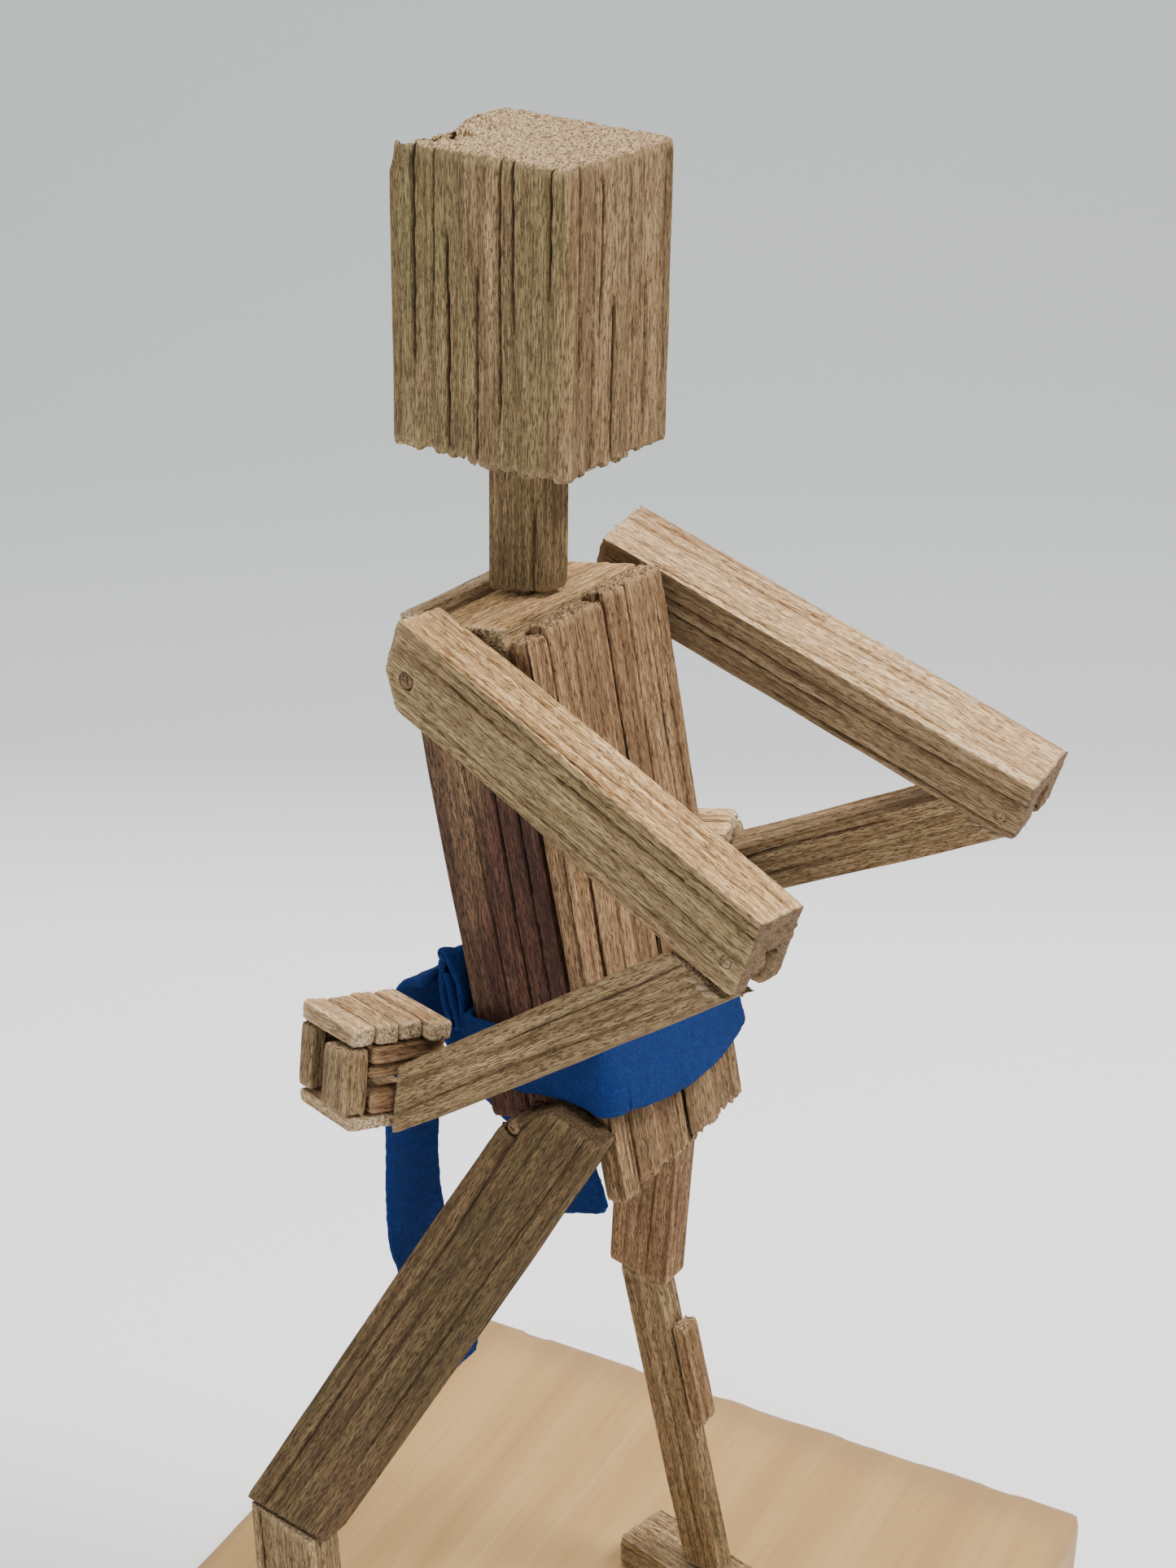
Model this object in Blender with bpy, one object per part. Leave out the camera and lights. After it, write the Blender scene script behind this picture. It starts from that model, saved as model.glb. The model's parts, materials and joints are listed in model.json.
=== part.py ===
"""A small jointed artist mannequin: weathered wood sticks on a smooth board, with a felt belt.

Sizes are in millimetres until a mesh is made. The figure is drawn in its own frame: +X is its left,
-Y is where it faces, and zero is the top left back corner of its head. The board is square to the
world, and the figure stands on it turned a little about the vertical.
"""

from math import cos, radians, sin

import bmesh
import bpy
from mathutils import Matrix, Vector

MM = 0.001
GAP = 0.3
EASE = 0.25
PIN_CLEARANCE = 0.1
ROUND_SIDES = 24

# Board, in the world's own axes
BOARD_SIZE = (160.0, 110.0, 14.0)
BOARD_CENTRE_Y = -1.69
FIGURE_TURN = -8.9
FIGURE_ORIGIN = (9.85, 9.51)
HEAD_TOP = 228.0

# Head and neck
HEAD_SIZE = (18.95, 22.0, 33.25)
NECK_SIZE = (3.0, 8.3)
NECK_BACK = 9.6
NECK_SIDE = -12.5
NECK_DOWEL_ENDS = (-6.0, 7.0)
NECK_BORE_SPARE = 0.5

# Torso, drawn from its own top left back corner
TORSO_CORNER = (2.9, -2.0, -47.75)
TORSO_LEAN = 12.55
TORSO_WIDTH = 24.75
TORSO_DEPTH = 17.7
BOARD_THICK = 3.0
STRIP_WIDTHS = (3.3, 9.8, 11.05)
STRIP_TOPS = (-1.5, -0.6, 0.0)
STRIP_BOTTOMS = ((-67.6, -67.2), (-67.0, -66.7), (-66.6, -65.2))
BEAM_HEIGHT = 8.4
COLLAR_DEPTH = 3.0
COLLAR_TOP = 1.4
BLOCK_BOTTOM = -59.0

# Arms: the elbow end of the ridge, and the turns of the stick that runs back from the shoulder
ARM_PIN_RADIUS = 0.9
ARM_PIN_DEPTH = 8.0
ELBOW_INSET = 2.6
ELBOW_PIN_RADIUS = 0.65
ELBOW_CORNER = 0.8
ELBOW_CLEARANCE = 0.6
SLOT_WIDTH = 2.4
TONGUE_WIDTH = 2.0
TONGUE_RADIUS = 2.1
TONGUE_ROOT = 5.56
TONGUE_HALF_HEIGHT = 1.7
TONGUE_ARC = (54.0, 306.0)
TONGUE_STEPS = 12
SLOT_FRONT = -4.6
SHOULDER_CUT_FROM = 3.0
SHOULDER_CUT_WAY = (0.0, -1.0, -0.85)
FOREARM_WIDTH = 5.8
FOREARM_HEIGHT = 6.8
DOWEL_RADIUS = 0.6
SPARE = 6.0

# Fists
FIST = 11.7
FINGERS = 4
FINGER_THICK = 2.0
PALM_THICK = 1.65
FINGER_FRONTS = (0.0, -0.5, 0.2, -0.3)
POST_WIDTH = 1.9
THUMB_OUT = 1.2
THUMB_ENDS = (0.2, 4.4)
FRONT_POST_ENDS = (-2.5, -0.3)
BAR_START = 2.2
BAR_THICK = 2.3
UPPER_BAR_LOW = 1.7
MIDDLE_BAR = (-0.1, 1.4)
MIDDLE_BAR_BACK = 0.5
HEEL_BAR_TOP = -1.5
WRIST_DOWEL_ENDS = (-4.5, 1.6)
WRIST_BORE_SPARE = 0.3
FIST_OUTWARD = (0.928, -0.337, 0.162)
FIST_FORWARD = (-0.317, -0.938, -0.138)

# Belt: felt, so its band stands clear of the wood
BELT_TOP = -46.4
BELT_BOTTOM = -53.2
FELT = 1.0
FELT_WIDTH = 7.0
BELT_CORNER = 1.2
KNOT_LOW = (-4.6, -24.0, -46.6)
KNOT_HIGH = (2.8, -19.6, -38.2)
LEFT_TAIL = (
    (1.6, -18.4, -98.2),
    (4.0, -17.2, -112.0),
    (4.2, -16.4, -126.0),
    (0.8, -15.9, -140.0),
    (-2.0, -15.6, -151.0),
)
LEFT_TAIL_TURNS = (10.0, 10.0, 10.0, 8.0, 6.0)
RIGHT_TAIL = (
    (-4.0, -19.0, -98.6),
    (-7.5, -16.5, -107.0),
    (-10.2, -11.5, -115.0),
    (-11.6, -6.5, -122.0),
    (-12.0, -4.0, -129.0),
)
RIGHT_TAIL_TURNS = (20.0, 40.0, 65.0, 84.0, 88.0)

LEFT_ARM = {
    "side": 1,
    "ridge": (17.1, 37.4, -63.4),
    "turns": (8.1, -17.3, 2.7),
    "size": (6.7, 54.1, 10.1),
    "shoulder": (3.2, -12.2, -54.0),
    "wrist": (17.6, -5.6, -98.4),
    "fist_back": (18.9, -6.4, -95.8),
    "last_finger_back": -1.4,
}
RIGHT_ARM = {
    "side": -1,
    "ridge": (-28.2, 42.5, -65.0),
    "turns": (-6.5, -18.6, -11.9),
    "size": (8.7, 56.5, 8.6),
    "shoulder": (-22.15, -7.0, -52.7),
    "wrist": (-36.5, -0.4, -91.1),
    "fist_back": (-36.6, -0.2, -92.3),
    "last_finger_back": 0.0,
}
LEFT_LEG = {
    "side": 1,
    "hip": (5.3, 4.9, -105.2),
    "knee": (22.0, -21.4, -161.2),
    "ankle": (27.0, -13.2, -208.7),
    "thigh": (4.6, 11.3),
    "shin": (5.4, 9.6),
}
RIGHT_LEG = {
    "side": -1,
    "hip": (-24.3, -1.2, -105.2),
    "knee": (-41.0, -14.3, -157.5),
    "ankle": (-46.4, -5.5, -208.7),
    "thigh": (4.6, 9.6),
    "shin": (3.6, 6.4),
}
HIP_PEG = (-10.0, -56.7)
HIP_PEG_DEPTH = 6.0
THIGH_PEAK = (0.0, -5.1, -54.4)
THIGH_TOP_WAYS = ((0.0, -0.283, 0.959), (0.0, 0.514, 0.857))
KNEE_DOWEL_REACH = 4.0
KNEE_BORE_REACH = 4.3
FOOT_BACK_SHARE = 0.32
FOOT_TURN = 8.0
FOOT_DOWEL_DEPTH = 8.0
FOOT_DOWEL_COVER = 0.8
SPLICE_ENDS = (8.0, 25.0)
SPLICE_THICK = 2.2
LEG_SPARE = 9.0
FOOT_SIZE = (9.0, 20.0, 5.0)
PEG_RADIUS = 0.8

WOODS = {
    "pale_tan": (0.62, 0.44, 0.25),
    "grey_brown": (0.30, 0.21, 0.12),
    "warm_brown": (0.33, 0.20, 0.11),
    "dark_red_brown": (0.13, 0.065, 0.035),
    "peg_brown": (0.18, 0.11, 0.06),
}


def material(name, colour, roughness):
    made = bpy.data.materials.get(name)
    if made:
        return made
    made = bpy.data.materials.new(name)
    made.use_nodes = True
    shader = made.node_tree.nodes["Principled BSDF"]
    shader.inputs["Base Color"].default_value = (*colour, 1.0)
    shader.inputs["Roughness"].default_value = roughness
    shader.inputs["Metallic"].default_value = 0.0
    return made


def wood(node, kind):
    return material(node + "_wood", WOODS[kind], 0.85)


def felt(node):
    return material(node + "_felt", (0.01, 0.06, 0.28), 0.95)


def turned(turn, pitch=0.0, roll=0.0):
    """The rotation of a stick whose +Y is turned towards +X, pitched up and rolled, in degrees."""
    about_z = Matrix.Rotation(radians(-turn), 3, "Z")
    about_x = Matrix.Rotation(radians(pitch), 3, "X")
    about_y = Matrix.Rotation(radians(-roll), 3, "Y")
    return about_z @ about_x @ about_y


def facing(x_axis, y_axis):
    """The rotation whose +Y is y_axis, and whose +X is as near x_axis as that allows."""
    y_axis = Vector(y_axis).normalized()
    z_axis = Vector(x_axis).cross(y_axis).normalized()
    x_axis = y_axis.cross(z_axis)
    return Matrix((x_axis, y_axis, z_axis)).transposed()


def empty(name, parent, place, rotation):
    """An empty at a place and rotation given in its parent's own frame."""
    made = bpy.data.objects.new(name, None)
    bpy.context.scene.collection.objects.link(made)
    made.empty_display_size = 0.01
    made.parent = parent
    made.matrix_basis = Matrix.Translation(Vector(place) * MM) @ rotation.to_4x4()
    return made


def mesh_object(name, parent, shape, surface):
    """Turns a bmesh in millimetres into an object that hangs on an empty."""
    bmesh.ops.recalc_face_normals(shape, faces=shape.faces)
    bmesh.ops.scale(shape, vec=(MM, MM, MM), verts=shape.verts)
    mesh = bpy.data.meshes.new(name)
    shape.to_mesh(mesh)
    shape.free()
    made = bpy.data.objects.new(name, mesh)
    bpy.context.scene.collection.objects.link(made)
    made.parent = parent
    if surface:
        mesh.materials.append(surface)
    return made


def box_shape(low, high):
    low = Vector(low)
    high = Vector(high)
    middle = (low + high) / 2
    size = high - low
    spread = Matrix.Translation(middle) @ Matrix.Diagonal((*size, 1.0))
    shape = bmesh.new()
    bmesh.ops.create_cube(shape, size=1.0, matrix=spread)
    return shape


def saw(shape, place, outward):
    """Cuts off all that lies beyond a plane, and closes the cut."""
    every = shape.verts[:] + shape.edges[:] + shape.faces[:]
    bmesh.ops.bisect_plane(
        shape, geom=every, plane_co=Vector(place), plane_no=Vector(outward), clear_outer=True
    )
    bmesh.ops.holes_fill(shape, edges=shape.edges)


def ease_edges(made, width=EASE):
    bevel = made.modifiers.new("eased_edges", "BEVEL")
    bevel.width = width * MM
    bevel.segments = 1
    bevel.limit_method = "ANGLE"


def stick(name, parent, low, high, surface, cuts=(), ease=EASE):
    """A squared stick, sawn by planes given as (place, outward) in its parent's frame."""
    shape = box_shape(low, high)
    for place, outward in cuts:
        saw(shape, place, outward)
    made = mesh_object(name, parent, shape, surface)
    ease_edges(made, ease)
    return made


def cylinder_shape(start, end, radius):
    start = Vector(start)
    end = Vector(end)
    along = end - start
    turn = along.to_track_quat("Z", "Y").to_matrix().to_4x4()
    shape = bmesh.new()
    bmesh.ops.create_cone(
        shape,
        cap_ends=True,
        segments=ROUND_SIDES,
        radius1=radius,
        radius2=radius,
        depth=along.length,
        matrix=Matrix.Translation((start + end) / 2) @ turn,
    )
    return shape


def dowel(name, parent, start, end, radius, surface):
    made = mesh_object(name, parent, cylinder_shape(start, end, radius), surface)
    made.data.shade_smooth()
    made.data.set_sharp_from_angle(angle=radians(40.0))
    return made


def outline_shape(points, low_x, high_x):
    """An outline of (y, z) points, drawn out along X."""
    shape = bmesh.new()
    ring = [shape.verts.new((low_x, y, z)) for y, z in points]
    face = shape.faces.new(ring)
    grown = bmesh.ops.extrude_face_region(shape, geom=[face])
    moved = [item for item in grown["geom"] if isinstance(item, bmesh.types.BMVert)]
    bmesh.ops.translate(shape, vec=(high_x - low_x, 0, 0), verts=moved)
    return shape


def boolean(made, other, operation):
    other.hide_render = True
    other.display_type = "WIRE"
    step = made.modifiers.new(other.name, "BOOLEAN")
    step.operation = operation
    step.object = other
    step.solver = "EXACT"


def bore(made, parent, start, end, radius):
    """Drills a stick for a dowel of this radius."""
    shape = cylinder_shape(start, end, radius + PIN_CLEARANCE)
    cutter = mesh_object(made.name + "_bore", parent, shape, None)
    boolean(made, cutter, "DIFFERENCE")


def recess(made, parent, low, high):
    cutter = mesh_object(made.name + "_recess", parent, box_shape(low, high), None)
    boolean(made, cutter, "DIFFERENCE")


def build_board():
    half_x = BOARD_SIZE[0] / 2
    low = (-half_x, BOARD_CENTRE_Y - BOARD_SIZE[1] / 2, 0.0)
    high = (half_x, BOARD_CENTRE_Y + BOARD_SIZE[1] / 2, BOARD_SIZE[2])
    return stick("base_board", None, low, high, wood("base_board", "pale_tan"), ease=0.8)


def build_torso(figure):
    torso = empty("torso_frame", figure, TORSO_CORNER, turned(0.0, TORSO_LEAN))
    right = -TORSO_WIDTH
    edge = 0.0
    for index, width in enumerate(STRIP_WIDTHS):
        low_bottom, high_bottom = STRIP_BOTTOMS[index]
        rise = (high_bottom - low_bottom) / width
        bottom_cut = ((edge, 0.0, low_bottom), (-rise, 0.0, -1.0))
        stick(
            "back_strip_%d" % (index + 1),
            torso,
            (edge - width, -BOARD_THICK, low_bottom - 1.0),
            (edge, 0.0, STRIP_TOPS[index]),
            wood("back_strip_%d" % (index + 1), "warm_brown"),
            cuts=[bottom_cut],
        )
        edge -= width + GAP
    front = -TORSO_DEPTH
    behind = -BOARD_THICK - GAP
    chest = stick(
        "chest_block",
        torso,
        (right, front, BLOCK_BOTTOM),
        (0.0, behind, -BEAM_HEIGHT - GAP),
        wood("chest_block", "dark_red_brown"),
    )
    beam = stick(
        "shoulder_beam",
        torso,
        (right, front + COLLAR_DEPTH + GAP, -BEAM_HEIGHT),
        (0.0, behind, 0.0),
        wood("shoulder_beam", "grey_brown"),
    )
    stick(
        "collar_stick",
        torso,
        (right, front, -BEAM_HEIGHT),
        (0.0, front + COLLAR_DEPTH, COLLAR_TOP),
        wood("collar_stick", "grey_brown"),
    )
    return torso, chest, beam


def build_head(torso, beam):
    lean = turned(0.0, TORSO_LEAN)
    neck_place = Vector((NECK_SIDE, -NECK_BACK, 0.0))
    neck = empty("neck_axis", torso, neck_place, Matrix.Identity(3))
    upright = empty("head_frame", neck, (0, 0, 0), turned(0.0, -TORSO_LEAN))
    corner = -Vector(TORSO_CORNER) - lean @ neck_place
    head_surface = wood("head_block", "grey_brown")
    stick("head_block", upright, corner - Vector(HEAD_SIZE), corner, head_surface, ease=2 * EASE)
    half_x = NECK_SIZE[0] / 2
    half_y = NECK_SIZE[1] / 2
    foot_cut = (Vector((0.0, 0.0, GAP)), lean @ Vector((0.0, 0.0, -1.0)))
    post = stick(
        "neck_post",
        upright,
        (-half_x, -half_y, -half_y),
        (half_x, half_y, corner.z - HEAD_SIZE[2] - GAP),
        wood("neck_post", "grey_brown"),
        cuts=[foot_cut],
    )
    low, high = NECK_DOWEL_ENDS
    start, end = (0.0, 0.0, low), (0.0, 0.0, high)
    dowel("neck_dowel", neck, start, end, PEG_RADIUS, wood("neck_dowel", "peg_brown"))
    through = (0.0, 0.0, low - NECK_BORE_SPARE)
    blind = (0.0, 0.0, high + NECK_BORE_SPARE)
    bore(post, neck, through, blind, PEG_RADIUS)
    bore(beam, neck, through, blind, PEG_RADIUS)


def build_arm(figure, beam, arm, word):
    rotation = turned(*arm["turns"])
    inverse = rotation.transposed()
    shoulder_place = Vector(arm["shoulder"])
    shoulder = empty(word + "_shoulder_axis", figure, shoulder_place, rotation)
    thick, length, tall = arm["size"]
    corner = inverse @ (Vector(arm["ridge"]) - shoulder_place)
    low = corner - Vector((thick, length, tall))
    end_corner = Vector((0.0, corner.y, low.z + ELBOW_CORNER))
    upper = stick(
        word + "_upper_arm",
        shoulder,
        low,
        corner,
        wood(word + "_upper_arm", "grey_brown"),
        cuts=[(end_corner, (0.0, 1.0, -1.0))] + shoulder_cut(arm, low),
    )
    pin_axis = inverse @ Vector((1.0, 0.0, 0.0))
    side = arm["side"]
    inner = -pin_axis * side * ARM_PIN_DEPTH
    past = pin_axis * side * (thick + SPARE)
    reach = pin_axis * side * pin_reach(arm, corner, low, pin_axis)
    dowel(word + "_shoulder_pin", shoulder, inner, reach, ARM_PIN_RADIUS,
          wood(word + "_shoulder_pin", "peg_brown"))
    deeper = -pin_axis * side * (ARM_PIN_DEPTH + GAP)
    bore(upper, shoulder, deeper, past, ARM_PIN_RADIUS)
    bore(beam, shoulder, deeper, past, ARM_PIN_RADIUS)
    build_forearm(shoulder, upper, arm, word, corner, low, inverse)


def shoulder_cut(arm, low):
    """The left arm's lower front corner is sawn off at the shoulder."""
    if arm["side"] < 0:
        return []
    return [((0.0, low.y + SHOULDER_CUT_FROM, low.z), SHOULDER_CUT_WAY)]


def pin_reach(arm, corner, low, pin_axis):
    """How far along the pin's axis the arm's outer face lies."""
    face = corner.x if arm["side"] > 0 else low.x
    return abs(face / pin_axis.x)


def build_forearm(shoulder, upper, arm, word, corner, low, inverse):
    """A bridle joint: the upper arm's end is slotted, and the forearm's tongue turns in the slot."""
    middle_x = (corner.x + low.x) / 2
    pin_place = Vector((middle_x, corner.y - ELBOW_INSET, low.z + ELBOW_INSET))
    wrist_place = inverse @ (Vector(arm["wrist"]) - Vector(arm["shoulder"]))
    along = (wrist_place - pin_place).normalized()
    axis = along.cross(Vector((0.0, 1.0, 0.0))).normalized()
    slot = empty(word + "_slot_frame", shoulder, pin_place, facing(axis, (0.0, 1.0, 0.0)))
    half_slot = SLOT_WIDTH / 2
    recess(upper, slot, (-half_slot, SLOT_FRONT, -SPARE), (half_slot, SPARE, ELBOW_INSET))
    half_pin = arm["size"][0] / 2 - PIN_CLEARANCE
    half_bore = half_pin + SPARE
    dowel(word + "_elbow_pin", slot, (-half_pin, 0.0, 0.0), (half_pin, 0.0, 0.0), ELBOW_PIN_RADIUS,
          wood(word + "_elbow_pin", "peg_brown"))
    bore(upper, slot, (-half_bore, 0.0, 0.0), (half_bore, 0.0, 0.0), ELBOW_PIN_RADIUS)

    elbow_turn = facing(axis, along)
    elbow = empty(word + "_elbow_axis", shoulder, pin_place, elbow_turn)
    to_elbow = elbow_turn.transposed()
    half_x = FOREARM_WIDTH / 2
    half_z = FOREARM_HEIGHT / 2
    wrist = to_elbow @ (wrist_place - pin_place)
    fist_turn = to_elbow @ inverse @ fist_rotation(arm)
    forward = fist_turn @ Vector((0.0, 1.0, 0.0))
    underside = to_elbow @ Vector((0.0, 0.0, 1.0))
    forearm = stick(
        word + "_forearm",
        elbow,
        (-half_x, -SPARE, -half_z),
        (half_x, wrist.y + SPARE, half_z),
        wood(word + "_forearm", "grey_brown"),
        cuts=[
            (underside * -(ELBOW_INSET + GAP), underside),
            (wrist - forward * GAP, forward),
        ],
    )
    corner_reach = (ELBOW_INSET**2 + (ELBOW_INSET - ELBOW_CORNER) ** 2) ** 0.5 + ELBOW_CLEARANCE
    past_x = half_x + SPARE
    sweep = cylinder_shape((-past_x, 0, 0), (past_x, 0, 0), corner_reach)
    boolean(forearm, mesh_object(word + "_elbow_sweep", elbow, sweep, None), "DIFFERENCE")
    tongue = outline_shape(tongue_outline(), -TONGUE_WIDTH / 2, TONGUE_WIDTH / 2)
    boolean(forearm, mesh_object(word + "_elbow_tongue", elbow, tongue, None), "UNION")
    bore(forearm, elbow, (-past_x, 0, 0), (past_x, 0, 0), ELBOW_PIN_RADIUS)
    build_fist(elbow, forearm, arm, word, wrist, fist_turn, to_elbow @ inverse)


def tongue_outline():
    """The tongue seen along the elbow's pin: square at its root and round at its end."""
    outline = [(TONGUE_ROOT, -TONGUE_HALF_HEIGHT), (TONGUE_ROOT, TONGUE_HALF_HEIGHT)]
    start, end = TONGUE_ARC
    for step in range(TONGUE_STEPS + 1):
        angle = radians(start + (end - start) * step / TONGUE_STEPS)
        outline.append((TONGUE_RADIUS * cos(angle), TONGUE_RADIUS * sin(angle)))
    return outline


def fist_rotation(arm):
    """The fist faces forward, turned inwards: +Y is its front and +X is the figure's right."""
    side = arm["side"]
    outward = Vector((FIST_OUTWARD[0] * side, *FIST_OUTWARD[1:]))
    forward = Vector((FIST_FORWARD[0] * side, *FIST_FORWARD[1:]))
    return facing(-outward * side, forward)


def build_fist(elbow, forearm, arm, word, wrist, rotation, to_elbow):
    fist = empty(word + "_wrist_axis", elbow, wrist, rotation)
    offset = Vector(arm["fist_back"]) - Vector(arm["wrist"])
    middle = rotation.transposed() @ (to_elbow @ offset)
    inward = arm["side"]
    half = FIST / 2

    def piece(name, x_ends, y_ends, z_ends, kind="grey_brown"):
        xs = sorted(x * inward for x in x_ends)
        low = Vector((xs[0] + middle.x, y_ends[0], z_ends[0] + middle.z))
        high = Vector((xs[1] + middle.x, y_ends[1], z_ends[1] + middle.z))
        node = word + "_" + name
        return stick(node, fist, low, high, wood(node, kind), ease=0.8 * EASE)

    wide = FIST / FINGERS
    finger_z = (half - FINGER_THICK, half)
    for index in range(FINGERS):
        low_x = -half + index * wide
        back = arm["last_finger_back"] if index == FINGERS - 1 else 0.0
        finger_y = (back, FIST + FINGER_FRONTS[index])
        piece("finger_%d" % (index + 1), (low_x, low_x + wide - GAP), finger_y, finger_z, "pale_tan")
    palm_top = -half + PALM_THICK
    piece("palm", (-half, half), (0.0, FIST), (-half, palm_top))
    post_z = (palm_top + GAP, half - FINGER_THICK - GAP)
    post_x = (-half, -half + POST_WIDTH)
    front_y = (FIST + FRONT_POST_ENDS[0], FIST + FRONT_POST_ENDS[1])
    piece("thumb_post", (-half - THUMB_OUT, -half + POST_WIDTH), THUMB_ENDS, post_z)
    piece("front_post", post_x, front_y, post_z)
    bar_x = (-half + BAR_START, half)
    piece("upper_bar", bar_x, (0.0, BAR_THICK), (UPPER_BAR_LOW, post_z[1]), "warm_brown")
    piece("middle_bar", bar_x, (MIDDLE_BAR_BACK, BAR_THICK), MIDDLE_BAR)
    heel = piece("heel_bar", bar_x, (0.0, BAR_THICK), (post_z[0], HEEL_BAR_TOP), "warm_brown")

    dowel_z = middle.z + (post_z[0] + HEEL_BAR_TOP) / 2
    back_y, front_y = WRIST_DOWEL_ENDS
    dowel(word + "_wrist_dowel", fist, (0.0, back_y, dowel_z), (0.0, front_y, dowel_z), DOWEL_RADIUS,
          wood(word + "_wrist_dowel", "peg_brown"))
    bore_start = (0.0, back_y - WRIST_BORE_SPARE, dowel_z)
    bore_end = (0.0, front_y + WRIST_BORE_SPARE, dowel_z)
    bore(forearm, fist, bore_start, bore_end, DOWEL_RADIUS)
    bore(heel, fist, bore_start, bore_end, DOWEL_RADIUS)


def build_leg(figure, board, chest, leg, word, base_top):
    side = leg["side"]
    hip = Vector(leg["hip"])
    knee = Vector(leg["knee"])
    ankle = Vector(leg["ankle"])
    across = Vector((1.0, 0.0, 0.0))
    lean = turned(0.0, TORSO_LEAN)
    corner = Vector(TORSO_CORNER)
    face_x = corner.x + GAP if side > 0 else corner.x - TORSO_WIDTH - GAP

    def into(rotation, place, point):
        return rotation.transposed() @ (Vector(point) - place)

    down = (knee - hip).normalized()
    shin_down = (ankle - knee).normalized()
    thigh_turn = facing(across, down)
    thigh_frame = empty(word + "_thigh_frame", figure, hip, thigh_turn)
    thick, wide = leg["thigh"]
    mitre = (down + shin_down).normalized()
    to_thigh = thigh_turn.transposed()
    peak = lean @ Vector(THIGH_PEAK) + corner
    cuts = [
        (into(thigh_turn, hip, (face_x, 0, 0)), to_thigh @ (-across * side)),
        (into(thigh_turn, hip, knee - mitre * GAP / 2), to_thigh @ mitre),
    ]
    for way in THIGH_TOP_WAYS:
        cuts.append((into(thigh_turn, hip, peak), to_thigh @ lean @ Vector(way)))
    reach = (knee - hip).length
    thigh = stick(word + "_thigh", thigh_frame, (-thick / 2, -LEG_SPARE, -wide / 2),
                  (thick / 2, reach + LEG_SPARE, wide / 2), wood(word + "_thigh", "grey_brown"), cuts)

    peg_y, peg_z = HIP_PEG
    peg_start = lean @ Vector((0.0, peg_y, peg_z)) + corner
    peg_start.x = face_x - side * HIP_PEG_DEPTH
    peg_end = peg_start.copy()
    outer = hip + thigh_turn @ Vector((side * thick / 2, 0, 0))
    normal = thigh_turn @ Vector((1, 0, 0))
    peg_end.x = peg_start.x + (outer - peg_start).dot(normal) / normal.x
    dowel(word + "_hip_peg", figure, peg_start, peg_end, PEG_RADIUS,
          wood(word + "_hip_peg", "peg_brown"))
    beyond = Vector((side * LEG_SPARE, 0, 0))
    behind = Vector((side * 2 * GAP, 0, 0))
    bore(thigh, figure, peg_start, peg_end + beyond, PEG_RADIUS)
    bore(chest, figure, peg_start - behind, peg_end, PEG_RADIUS)

    shin_turn = facing(across, shin_down)
    shin_frame = empty(word + "_shin_frame", figure, knee, shin_turn)
    to_shin = shin_turn.transposed()
    shin_thick, shin_wide = leg["shin"]
    sole = Vector((0.0, 0.0, base_top + FOOT_SIZE[2] + 2 * GAP))
    shin_reach = (ankle - knee).length
    shin = stick(
        word + "_shin",
        shin_frame,
        (-shin_thick / 2, -LEG_SPARE, -shin_wide / 2),
        (shin_thick / 2, shin_reach + LEG_SPARE, shin_wide / 2),
        wood(word + "_shin", "grey_brown"),
        cuts=[
            (into(shin_turn, knee, knee + mitre * GAP / 2), to_shin @ -mitre),
            (into(shin_turn, knee, sole), to_shin @ Vector((0, 0, -1))),
        ],
    )
    half_dowel = mitre * KNEE_DOWEL_REACH
    half_bore = mitre * KNEE_BORE_REACH
    dowel(word + "_knee_dowel", figure, knee - half_dowel, knee + half_dowel, PEG_RADIUS,
          wood(word + "_knee_dowel", "peg_brown"))
    bore(thigh, figure, knee - half_bore, knee + half_bore, PEG_RADIUS)
    bore(shin, figure, knee - half_bore, knee + half_bore, PEG_RADIUS)

    foot_place = Vector((ankle.x, ankle.y, base_top + GAP))
    foot_frame = empty(word + "_foot_frame", figure, foot_place, turned(-side * FOOT_TURN))
    wide_x, long_y, tall = FOOT_SIZE
    heel_y = long_y * FOOT_BACK_SHARE
    foot = stick(word + "_foot", foot_frame, (-wide_x / 2, heel_y - long_y, 0.0),
                 (wide_x / 2, heel_y, tall), wood(word + "_foot", "grey_brown"))
    start, end = (0.0, 0.0, -FOOT_DOWEL_DEPTH), (0.0, 0.0, tall - FOOT_DOWEL_COVER)
    dowel(word + "_foot_dowel", foot_frame, start, end, PEG_RADIUS,
          wood(word + "_foot_dowel", "peg_brown"))
    bore_start = (0.0, 0.0, -FOOT_DOWEL_DEPTH - GAP)
    bore_end = (0.0, 0.0, tall - FOOT_DOWEL_COVER + GAP)
    bore(foot, foot_frame, bore_start, bore_end, PEG_RADIUS)
    bore(board, foot_frame, bore_start, bore_end, PEG_RADIUS)
    return shin_frame


def build_splice(shin_frame, leg):
    """The thin stick glued on the back of the right shin."""
    thick, wide = leg["shin"]
    back = wide / 2 + GAP
    start, end = SPLICE_ENDS
    stick("right_shin_splice", shin_frame, (-thick / 2, start, back),
          (thick / 2, end, back + SPLICE_THICK), wood("right_shin_splice", "warm_brown"))


def belt_outline(offset, radius, points_per_corner=4):
    """The torso's outline seen from above, stood off all round, with round corners."""
    low_x, high_x = -TORSO_WIDTH - offset, offset
    low_y, high_y = -TORSO_DEPTH - offset, offset
    centres = (
        (high_x - radius, high_y - radius, 0.0),
        (low_x + radius, high_y - radius, 90.0),
        (low_x + radius, low_y + radius, 180.0),
        (high_x - radius, low_y + radius, 270.0),
    )
    outline = []
    for centre_x, centre_y, start in centres:
        for step in range(points_per_corner + 1):
            angle = radians(start + 90.0 * step / points_per_corner)
            outline.append((centre_x + radius * cos(angle), centre_y + radius * sin(angle)))
    return outline


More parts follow.
